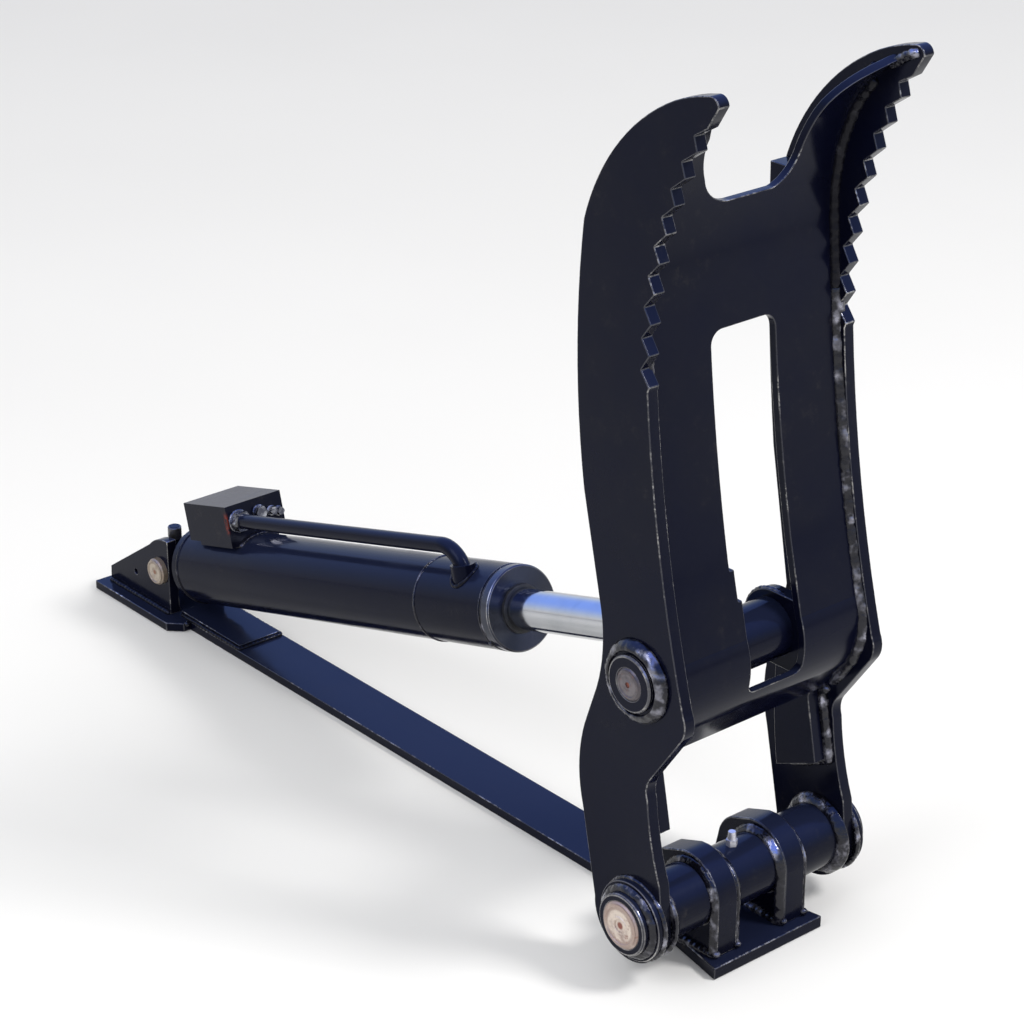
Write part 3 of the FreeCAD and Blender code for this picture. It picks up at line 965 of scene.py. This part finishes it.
def rounded_copy(nodes: tuple[str, ...], width: float,
                 paints: tuple[bpy.types.Material, bpy.types.Material],
                 sharp: float = 32.0, clamp: bool = False) -> None:
    """Copy CAD nodes as one shape that stands for them, and round its edges a little.

    Args:
        nodes: one CAD node, or several that are parts of one plate. The first names the piece.
        width: size of the rounding in millimetres.
        paints: finish of the faces and finish of the rounded edges.
        sharp: edges that turn more than this are rounded.
        clamp: keep the rounding small where edges are close together.
    """
    body = Body(frame["nodes"][nodes[0]]["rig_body"])
    piece = united_copy(nodes)
    Bench.pick(piece)
    piece = Bench.named(nodes[0] + "_rounded")
    with Bench.editing(piece):
        bpy.ops.mesh.remove_doubles(threshold=UNITED_MERGE)
        bpy.ops.mesh.dissolve_limited(angle_limit=math.radians(FLAT))
    Bench.paint(piece, *paints)
    for polygon in piece.data.polygons:
        polygon.material_index = 0
    Bench.finish_with(piece, "BEVEL", width=width / 1000.0, segments=2, limit_method="ANGLE",
                      angle_limit=math.radians(sharp), use_clamp_overlap=clamp, material=1,
                      harden_normals=False, miter_outer="MITER_ARC")
    Bench.smooth(piece, PLATE_CREASE)
    Bench.finish_with(piece, "WEIGHTED_NORMAL", keep_sharp=True, weight=60)
    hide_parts(*nodes)
    Bench.seat(piece, body)


@dataclass(frozen=True)
class Turned:
    """A round fitting turned from a profile of radius and height in millimetres."""

    name: str
    body: Body
    profile: Profile
    sides: int = 40

    def build(self, place: Point, turn: Matrix, material: bpy.types.Material,
              slot: Slot = Slot.PIN) -> None:
        """Extrude the profile along Z ring by ring, then turn and place it.

        Args:
            place: where the profile's foot goes, in millimetres.
            turn: rotation of the profile's axis.
            material: finish of the piece.
            slot: the record's slot, not used.
        """
        Bench.clear()
        bpy.ops.mesh.primitive_circle_add(vertices=self.sides, radius=self.profile[0][0] / 1000.0,
                                          fill_type="NOTHING")
        piece = Bench.named(self.name)
        with Bench.editing(piece):
            bpy.ops.transform.translate(value=(0, 0, self.profile[0][1] / 1000.0))
            bpy.ops.mesh.edge_face_add()
            for (r0, z0), (r1, z1) in zip(self.profile, self.profile[1:]):
                bpy.ops.mesh.extrude_region_move(
                    TRANSFORM_OT_translate={"value": (0, 0, (z1 - z0) / 1000.0)})
                share = max(r1, TIP_R) / max(r0, TIP_R)
                bpy.ops.transform.resize(value=(share, share, 1.0), center_override=(0, 0, 0))
        Bench.outward(piece)
        piece.data.transform(Matrix.Translation(Vector(place) / 1000.0) @ turn)
        Bench.complete(piece, TURNED_CREASE, material, self.body, slot)


# Rotations that turn a fitting's axis outwards
TURN_TO = {Side.LEFT: Matrix.Rotation(math.pi / 2, 4, "X"),
           Side.RIGHT: Matrix.Rotation(-math.pi / 2, 4, "X")}

# Profiles of the turned fittings: radius and height in millimetres
LOWER_RING: Profile = ((20.4, -0.6), (20.4, 0.5), (19.2, 0.9), (17.6, 0.9), (17.0, 0.2),
                       (9.4, 0.2), (8.6, 0.7), (6.4, 0.7), (6.0, -1.5), (0.0, -1.5))
UPPER_RING: Profile = ((13.0, -0.5), (13.0, 0.3), (12.2, 0.6), (11.2, 0.6), (10.6, 0.15),
                       (4.2, 0.15), (3.6, 0.5), (2.6, 0.5), (2.4, -1.0), (0.0, -1.0))
REAR_RING: Profile = ((13.4, -0.5), (13.4, 0.4), (12.6, 0.9), (11.4, 0.9), (10.8, 0.2),
                      (4.4, 0.2), (3.8, -0.8), (0.0, -0.8))
NIPPLE_TOP: Profile = ((4.6, 5.8), (4.4, 6.6), (2.7, 7.6), (2.5, 9.2), (3.4, 10.4), (3.5, 11.6),
                       (2.6, 13.0), (1.3, 13.8), (0.0, 13.9))
WIPER_LIP: Profile = ((23.7, -0.4), (23.7, 1.6), (23.0, 2.4), (21.4, 2.6), (20.2, 2.2),
                      (20.1, -0.4))
TUBE_WASHER: Profile = ((12.6, -0.4), (12.6, 1.2), (12.0, 1.8), (10.5, 1.9), (0.0, 1.9))
STUB_CAP: Profile = ((7.3, -14.4), (7.6, -13.8), (7.6, -1.6), (7.0, -0.6), (4.4, -0.2),
                     (0.0, -0.1))


# The thumb, its base and its bracket, in millimetres


@dataclass
class ThumbArm:
    """Side plates, face plate, stiffeners and pins of the swinging thumb."""

    finishes: Finishes
    half_in: float = 109.0
    half_out: float = 121.0
    doubler_in: float = 90.0
    lower_boss_t: float = 8.0
    lower_boss_r: float = 38.0
    lug_r: float = 34.4
    lug_y: float = 41.5
    lower_face: float = 140.8
    upper_face: float = 133.0

    def build(self) -> None:
        """Build and dress the whole arm."""
        collar = (self.finishes.paint, self.finishes.bright_edge)
        for side in Side:
            for node in ("side_plate", "inner_doubler", "pin_lug"):
                rounded_copy((f"{node}_{side.word}",), PLATE_ROUND, self.finishes.plate)
            for node in ("lower_boss", "lower_collar", "upper_collar"):
                rounded_copy((f"{node}_{side.word}",), COLLAR_ROUND, collar, ROUND_SHARP, True)
            self._pins(side)
            self._boss_beads(side)
            self._long_beads(side)
        rounded_copy(("face_plate", "face_stile_left", "face_stile_right", "face_step_left",
                      "face_step_right", "face_foot"), PLATE_ROUND, self.finishes.plate)

    def _bead(self, name: str, runs: list[list[Point]], radius: float, wild: float,
              **kind: bool) -> None:
        """Lay a bead that rides on the thumb."""
        Bead(name, Body.THUMB, runs, radius, wild, **kind).lay(self.finishes)

    def _face_line(self, ahead: float) -> list[Flat]:
        """The face plate's front line, moved ahead by a few millimetres."""
        line = line_of((5.0, 221.0), arc_points((27.5, 252.5), (38.0, 281.0), (32.6, 322.0)),
                       (16.2, 391.0), arc_points((-7.0, 527.0), (-13.9, 588.0), (-19.0, 650.0)),
                       arc_points((-19.0, 650.0), (-17.5, 712.0), (-2.0, 759.0)),
                       arc_points((-2.0, 759.0), (10.5, 777.5), (28.0, 795.0)), (50.0, 812.5))
        moved = []
        for i, (x, z) in enumerate(line):
            x0, z0 = line[max(0, i - 1)]
            x1, z1 = line[min(len(line) - 1, i + 1)]
            size = math.hypot(x1 - x0, z1 - z0)
            moved.append((x + ahead * (z1 - z0) / size, z - ahead * (x1 - x0) / size))
        return moved

    def _pins(self, side: Side) -> None:
        """Set a finished ring into each pin face of one side."""
        for name, ring, sides, (x, z), y, finish in (
                ("lower_pin_ring", LOWER_RING, 56, PIVOT, self.lower_face,
                 self.finishes.lower_pin),
                ("upper_pin_ring", UPPER_RING, 48, UPPER_PIN, self.upper_face,
                 self.finishes.upper_pin)):
            Turned(f"{name}_{side.word}", Body.THUMB, ring, sides).build(
                (x, side.value * y, z), TURN_TO[side], finish)

    def _boss_beads(self, side: Side) -> None:
        """Beads round the bosses, the hub and the lug of one side."""
        s = side.value
        word = side.word
        for name, centre, root, y, out, reach, rise in (
                ("upper_boss_weld", UPPER_PIN, 29.8, self.half_out, s, 8.8, 9.0),
                ("lower_boss_weld", PIVOT, 29.5, self.half_out + self.lower_boss_t, s, 6.4, 4.6),
                ("hub_weld", PIVOT, 31.0, self.half_in, -s, 9.2, 9.0)):
            Fillet(f"{name}_{word}", Body.THUMB, centre, root, s * y, out, reach,
                   rise).lay(self.finishes)
        foot = circle_about(PIVOT, s * (self.half_out + 0.4), self.lower_boss_r)
        self._bead(f"lower_foot_weld_{word}", [foot], 2.6, 0.2, closed=True)
        rim = circle_about(UPPER_PIN, s * self.lug_y, self.lug_r, -70.0, 236.0)
        self._bead(f"lug_weld_{word}", [rim], 2.6, 0.2)

    def _long_beads(self, side: Side) -> None:
        """Beads along the corners of the face plate, the doubler and the side plate."""
        s = side.value
        word = side.word
        heavy = side is Side.RIGHT
        radius, sunk = (8.6, 2.6) if heavy else (5.0, 0.6)
        low = [p for p in self._face_line(-sunk) if p[1] < 604.0]
        high = [p for p in self._face_line(-0.6) if 592.0 < p[1] < 790.0]
        self._bead(f"face_weld_low_{word}", [at_side(low, s * (self.half_in + sunk))], radius, 0.12)
        self._bead(f"face_weld_high_{word}", [at_side(high, s * (self.half_in + 0.4))],
                   6.8 if heavy else 4.4, 0.16, dark=True)
        tip = [(34.0, s * 107.6, 801.0), (44.0, s * 108.2, 808.6), (52.0, s * 108.8, 813.6),
               (58.0, s * 109.6, 816.4), (63.0, s * 110.2, 818.0)]
        self._bead(f"tip_weld_{word}", [tip], 4.4, 0.2)
        back = self._face_line(-9.4)
        back_high = [p for p in back if 700.0 < p[1] < 800.0]
        back_low = [p for p in back if 340.0 < p[1] < 690.0]
        self._bead(f"face_weld_back_{word}", [at_side(back_high, s * (self.half_in - 1.0)),
                                              at_side(back_low, s * (self.doubler_in - 0.8))],
                   3.6, 0.22, dark=True)
        foot = line_of((-40.0, 124.0), (9.4, 145.2), (-3.2, 210.0), (2.0, 219.0))
        self._bead(f"doubler_foot_weld_{word}", [at_side(foot, s * (self.half_in - 1.6))],
                   5.4 if heavy else 3.4, 0.1)
        rear = line_of((-40.5, 127.0), arc_points((-41.0, 135.0), (-47.6, 215.0), (-39.0, 311.0)),
                       (-62.6, 440.0), arc_points((-62.6, 440.0), (-74.8, 560.0), (-80.6, 694.0)))
        self._bead(f"doubler_weld_{word}", [at_side(rear, s * (self.half_in - 1.2))], 3.4, 0.3)


@dataclass
class PivotBase:
    """Base plate, ears and cross tube that carry the thumb."""

    finishes: Finishes
    base_t: float = 12.0
    ear_in: float = 30.0
    ear_out: float = 55.0
    tube_r: float = 30.0
    tube_top: float = 94.0

    def build(self) -> None:
        """Build and dress the pivot base."""
        for node, width in (("pivot_base_plate", 1.0), ("pivot_ear_left", 1.6),
                            ("pivot_ear_right", 1.6), ("long_strip", 0.8)):
            rounded_copy((node,), width, self.finishes.plate)
        for side in Side:
            self._ear_beads(side)
        end = [[(-73.0, -28.0, 10.4), (-73.0, 28.0, 10.4)]]
        Bead("strip_weld_front", Body.BASE, end, 3.4, 0.3, dark=True).lay(self.finishes)
        Turned("nipple_top", Body.BASE, NIPPLE_TOP, 28).build(
            (0.0, -5.0, self.tube_top), Matrix.Identity(4), self.finishes.nipple, Slot.ZINC)

    def _ear_beads(self, side: Side) -> None:
        """Beads round the tube on both faces of one ear, and along its foot."""
        s = side.value
        word = side.word
        sides = []
        ends = []
        for place, face, out, rise in (("outer", self.ear_out, s, 4.2),
                                       ("inner", self.ear_in, -s, 7.4)):
            Fillet(f"ear_weld_{place}_{word}", Body.BASE, PIVOT, self.tube_r, s * face, out, 6.4,
                   rise, 0.0, 170.0, PIVOT[1] - self.base_t).lay(self.finishes)
            y = s * face + out * 0.8
            sides.append([(34.0, y, self.base_t + 0.6), (-65.0, y, self.base_t + 0.6)])
            ends.append([(35.4, s * face + out * 0.4, self.base_t + 7.0),
                         (36.0, s * face + out * 0.6, self.base_t + 1.0)])
        Bead(f"ear_foot_weld_{word}", Body.BASE, sides + ends, 4.4, 0.3).lay(self.finishes)


@dataclass
class RearBracket:
    """Plate and ears that hold the cylinder's rear pin."""

    finishes: Finishes
    front: float = -824.0
    ear_out: float = 36.0
    ear_in: float = 24.0
    top: float = 10.0
    pin_face: float = 43.0

    def build(self) -> None:
        """Build and dress the rear bracket."""
        for node, width in (("rear_base_plate", 1.0), ("rear_ear_left", 0.9),
                            ("rear_ear_right", 0.9), ("lap_plate", 0.8)):
            rounded_copy((node,), width, self.finishes.plate)
        for side in Side:
            s = side.value
            foot = [[(x, s * y, self.top + 0.8) for x in (-970.0, -853.0)]
                    for y in (self.ear_out + 0.8, self.ear_in - 0.8)]
            Bead(f"rear_ear_weld_{side.word}", Body.BASE, foot, 3.4, 0.24,
                 dark=True).lay(self.finishes)
            Turned(f"rear_pin_ring_{side.word}", Body.BASE, REAR_RING, 44).build(
                (REAR_PIN[0], s * self.pin_face, REAR_PIN[1]), TURN_TO[side],
                self.finishes.rear_pin)
        lap = [[(-843.0, -27.5, 10.8), (-733.4, -27.5, 10.8), (-733.4, 27.5, 10.8),
                (-843.0, 27.5, 10.8)]]
        Bead("lap_weld", Body.BASE, lap, 2.8, 0.3, dark=True).lay(self.finishes)
        butt = [[(self.front + 0.5, s * 37.0, 8.4), (self.front + 0.5, s * 30.5, 9.0)]
                for s in (-1, 1)]
        Bead("strip_weld_rear", Body.BASE, butt, 3.2, 0.34).lay(self.finishes)


# The cylinder, in millimetres


@dataclass
class Cylinder:
    """Barrel, head, port block and tube, and the rod's fittings."""

    finishes: Finishes
    line: CylinderLine
    barrel_r: float = 42.5
    cap_at: float = 46.8
    seam_at: float = 478.7
    head_at: float = 595.0
    block_from: float = 75.0
    block_to: float = 156.0
    block_low: float = 36.0
    pipe_y: float = -20.0
    pipe_up: float = 63.0
    pipe_end: float = 542.0
    boss_r: float = 13.2
    rod_r: float = 20.6
    eye_r: float = 28.6
    eye_at: float = 897.95

    def build(self) -> None:
        """Build and dress the cylinder."""
        rounded_copy(("port_block",), 1.0, (self.finishes.block, self.finishes.edge), clamp=True)
        for node, paint in (("gland_head", self.finishes.turned),
                            ("front_sleeve", self.finishes.paint)):
            rounded_copy((node,), 0.5, (paint, self.finishes.bright_edge), ROUND_SHARP, True)
        self._ring_beads()
        self._block_beads()
        self._foot_beads()
        self._fittings()

    def _bead(self, name: str, runs: list[list[Point]], radius: float, wild: float,
              **kind: bool) -> None:
        """Lay a bead that rides on the barrel."""
        Bead(name, Body.BARREL, runs, radius, wild, **kind).lay(self.finishes)

    def _ring_beads(self) -> None:
        """The weld at the rear cap, the lips of the head's groove, the seam and the eye's welds."""
        for name, along, sunk, radius, wild, dark in (
                ("cap_weld", self.cap_at, 0.9, 2.2, 0.14, True),
                ("groove_lip_rear", 580.7, 0.5, 0.8, 0.05, False),
                ("groove_lip_front", 583.6, 0.5, 0.8, 0.05, False),
                ("seam_ring", self.seam_at, 0.2, 1.3, 0.08, False)):
            self._bead(name, [self.line.ring(along, self.barrel_r - sunk)], radius, wild,
                       closed=True, dark=dark)
        runs = []
        for y in (-21.8, 21.8):
            runs += [[self.line.at(19.0, y, up), self.line.at(36.5, y, up + math.copysign(0.5, up))]
                     for up in (21.0, -21.0)]
            runs.append([self.line.at(36.2, y, -21.0), self.line.at(36.2, y, 21.0)])
        self._bead("eye_weld", runs, 3.0, 0.3, dark=True)

    def _block_beads(self) -> None:
        """Beads where the port block meets the barrel."""
        half = math.degrees(math.acos(self.block_low / self.barrel_r)) + 4
        runs = [self.line.ring(self.block_to + 0.8, self.barrel_r + 0.4, 90 - half, 90 + half)]
        reach = math.sqrt(self.barrel_r ** 2 - self.block_low ** 2) + 1.4
        for y in (-reach, reach):
            runs.append([self.line.at(along, y, self.block_low - 0.4)
                         for along in (self.block_from + 22, self.block_to)])
        self._bead("block_weld", runs, 2.8, 0.3, dark=True)

    def _foot_beads(self) -> None:
        """Beads round the foot of the tube's boss on the barrel, and of the rod on its eye."""
        boss = []
        for t in turns(step=7.5):
            y = self.pipe_y + self.boss_r * math.sin(t)
            up = math.sqrt((self.barrel_r + 0.3) ** 2 - y * y)
            boss.append(self.line.at(self.pipe_end - 1.5 + self.boss_r * math.cos(t), y, up))
        self._bead("tube_boss_weld", [boss], 2.1, 0.22, closed=True, dark=True)
        rod = []
        for t in turns(step=7.5)[:-1]:
            y, up = self.rod_r * math.cos(t), self.rod_r * math.sin(t)
            rod.append(self.line.at(self.eye_at - math.sqrt(self.eye_r ** 2 - up * up), y, up))
        Bead("rod_weld", Body.ROD, [rod], 3.0, 0.3, True, True).lay(self.finishes)

    def _fittings(self) -> None:
        """Wiper lip, staked lock, washers under the plugs and the tube, and the stub's cap."""
        turn = self.line.turn()
        self._wiper_lip(turn)
        stake = [[self.line.at(582.0, -31.5, -29.0), self.line.at(582.0, -35.5, -24.0)]]
        self._bead("head_stake", stake, 2.4, 0.3)
        for name, y, up, size in (("plug_washer_a", 7.0, 65.5, 8.2),
                                  ("plug_washer_b", 22.5, 63.0, 5.6),
                                  ("plug_washer_c", 31.0, 60.5, 5.6)):
            ring = ((size, -0.4), (size, 0.9), (size - 0.5, 1.3), (size - 2.0, 1.4), (0.0, 1.4))
            Turned(name, Body.BARREL, ring, 32).build(self.line.at(self.block_to, y, up), turn,
                                                      self.finishes.zinc, Slot.ZINC)
        Turned("tube_washer", Body.BARREL, TUBE_WASHER, 36).build(
            self.line.at(self.block_to, self.pipe_y, self.pipe_up), turn, self.finishes.zinc,
            Slot.ZINC)
        Turned("stub_cap", Body.BARREL, STUB_CAP, 36).build(
            (REAR_PIN[0], -14.0, 105.9), Matrix.Identity(4), self.finishes.dull, Slot.ZINC)

    def _wiper_lip(self, turn: Matrix) -> None:
        """Spin the wiper's lip to a ring round the rod."""
        piece = Bench.loop("wiper_lip", [(r, 0.0, z) for r, z in WIPER_LIP])
        with Bench.editing(piece):
            bpy.ops.mesh.spin(steps=56, angle=2 * math.pi, center=(0, 0, 0), axis=(0, 0, 1))
        Bench.outward(piece)
        place = Vector(self.line.at(self.head_at - 0.2, 0.0, 0.0))
        piece.data.transform(Matrix.Translation(place / 1000.0) @ turn)
        Bench.complete(piece, TURNED_CREASE, self.finishes.rubber, Body.BARREL, Slot.SEAL)


class NodeFinishes:
    """Gives every CAD node that stays its finish."""

    def __init__(self, finishes: Finishes) -> None:
        """Sort the nodes by finish.

        Args:
            finishes: the thumb's finishes.
        """
        self.plain = finishes.paint
        self.special = {
            "lower_pin": finishes.lower_pin, "rear_pin": finishes.rear_pin,
            "upper_pin_left": finishes.upper_pin, "upper_pin_right": finishes.upper_pin,
            "rod_eye_pin": finishes.upper_pin, "rod": finishes.chrome, "piston": finishes.cast,
            "piston_nut": finishes.dull, "pivot_bushes": finishes.bronze,
            "rear_eye_bush": finishes.bronze, "rod_eye_bush": finishes.bronze,
            "rod_seal": finishes.rubber, "rod_wiper": finishes.rubber,
            "piston_seal": finishes.rubber, "pivot_nipple": finishes.nipple,
            "tube_nut": finishes.zinc, "block_plugs": finishes.zinc,
        }

    def apply(self) -> None:
        """Assign the finishes through the nodes' own material slots."""
        for name, node in sorted(frame["nodes"].items()):
            if not node.material_slots:
                node.data.materials.append(None)
            for slot in node.material_slots:
                slot.material = self.special.get(name, self.plain)
            log.info("node %s is finished", name)


# The studio, with places in metres


@dataclass
class Studio:
    """Plain pale floor, soft light and the photograph's camera."""

    eye: Point = (1.57579, -1.61278, 1.44392)
    yaw: float = 49.49
    pitch: float = 24.49
    roll: float = -0.2
    lens: float = 101.52
    floor_size: float = 40.0
    floor_z: float = -0.0004
    aim: Point = (-0.3, 0.0, 0.3)
    sky: tuple[tuple[float, Colour], ...] = (
        (0.0, (0.41, 0.41, 0.41)), (0.2, (0.31, 0.37, 0.50)), (0.40, (0.17, 0.275, 0.66)),
        (0.8, (0.12, 0.22, 0.80)))
    sky_diffuse: Colour = (0.31, 0.31, 0.31)
    sky_strength: float = 2.4

    def build(self) -> None:
        """Build the floor, the light and the camera."""
        self._floor()
        self._sky()
        self._lamp("key", (2.1, 1.3, 3.1), 0.8, 84.0, (1.0, 0.98, 0.95))
        self._lamp("fill", (-0.4, -3.0, 3.0), 2.2, 50.0, (1.0, 1.0, 1.0))
        self._camera()

    def _floor(self) -> None:
        """A wide pale floor just under the weld faces."""
        Bench.clear()
        bpy.ops.mesh.primitive_plane_add(size=self.floor_size, location=(0, 0, self.floor_z))
        floor = Bench.named("studio_floor")
        with Bench.editing(floor):
            bpy.ops.mesh.subdivide(number_cuts=3)
        bpy.ops.object.transform_apply(location=True, rotation=True, scale=True)
        Bench.paint(floor, PaleFloor().make())

    def _sky(self) -> None:
        """A pale dome, white at the horizon and blue overhead, that lights plainly."""
        world = bpy.data.worlds.new("pale_dome")
        bpy.context.scene.world = world
        world.use_nodes = True
        tree = Tree(world.node_tree)
        split = tree.node("SeparateXYZ", {0: tree.node("TexCoord").outputs["Generated"]})
        ramp = tree.node("ValToRGB", {0: split.outputs["Z"]})
        stops = ramp.color_ramp.elements
        stops[0].position, stops[1].position = self.sky[0][0], self.sky[-1][0]
        for mark, _ in self.sky[1:-1]:
            stops.new(mark)
        for stop, (_, colour) in zip(stops, self.sky):
            stop.color = (*colour, 1.0)
        path = tree.node("LightPath").outputs
        seen = path["Is Camera Ray"]
        for name in ("Is Glossy Ray", "Is Transmission Ray"):
            seen = tree.reckon("ADD", seen, path[name])
        back = tree.node("Background", {
            "Color": tree.blend(seen, self.sky_diffuse, ramp.outputs["Color"]),
            "Strength": self.sky_strength})
        tree.node("OutputWorld", {0: back.outputs[0]})

    def _lamp(self, name: str, place: Point, size: float, power: float, colour: Colour) -> None:
        """A square soft lamp aimed at the thumb.

        Args:
            name: the lamp's name.
            place: its place in metres.
            size: its width in metres.
            power: its watts.
            colour: its colour.
        """
        Bench.clear()
        bpy.ops.object.light_add(type="AREA", location=place)
        lamp = Bench.named(name)
        lamp.data.shape = "SQUARE"
        lamp.data.size = size
        lamp.data.energy = power
        lamp.data.color = colour
        lamp.rotation_mode = "QUATERNION"
        lamp.rotation_quaternion = (Vector(self.aim) - Vector(place)).to_track_quat("-Z", "Y")

    def _camera(self) -> None:
        """The camera at the photograph's place, angle and lens."""
        yaw, pitch, roll = (math.radians(a) for a in (self.yaw, self.pitch, self.roll))
        ahead = Vector((-math.sin(yaw) * math.cos(pitch), math.cos(yaw) * math.cos(pitch),
                        -math.sin(pitch)))
        right = Vector((math.cos(yaw), math.sin(yaw), 0.0))
        down = ahead.cross(right)
        across = math.cos(roll) * right + math.sin(roll) * down
        below = -math.sin(roll) * right + math.cos(roll) * down
        Bench.clear()
        bpy.ops.object.camera_add()
        camera = Bench.named("view")
        camera.matrix_world = Matrix.Translation(self.eye) @ Matrix(
            (across, -below, -ahead)).transposed().to_4x4()
        camera.data.lens = self.lens
        camera.data.sensor_width = 36.0
        camera.data.clip_end = 100.0
        bpy.context.scene.camera = camera


def main() -> None:
    """Build everything in order."""
    logging.basicConfig(level=logging.INFO, format="%(message)s")
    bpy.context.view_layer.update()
    bpy.context.scene.view_settings.view_transform = "Standard"
    Studio().build()
    line = CylinderLine()
    finishes = Finishes(line)
    NodeFinishes(finishes).apply()
    ThumbArm(finishes).build()
    PivotBase(finishes).build()
    RearBracket(finishes).build()
    Cylinder(finishes, line).build()
    Bench.clear()


if __name__ == "__main__":
    main()
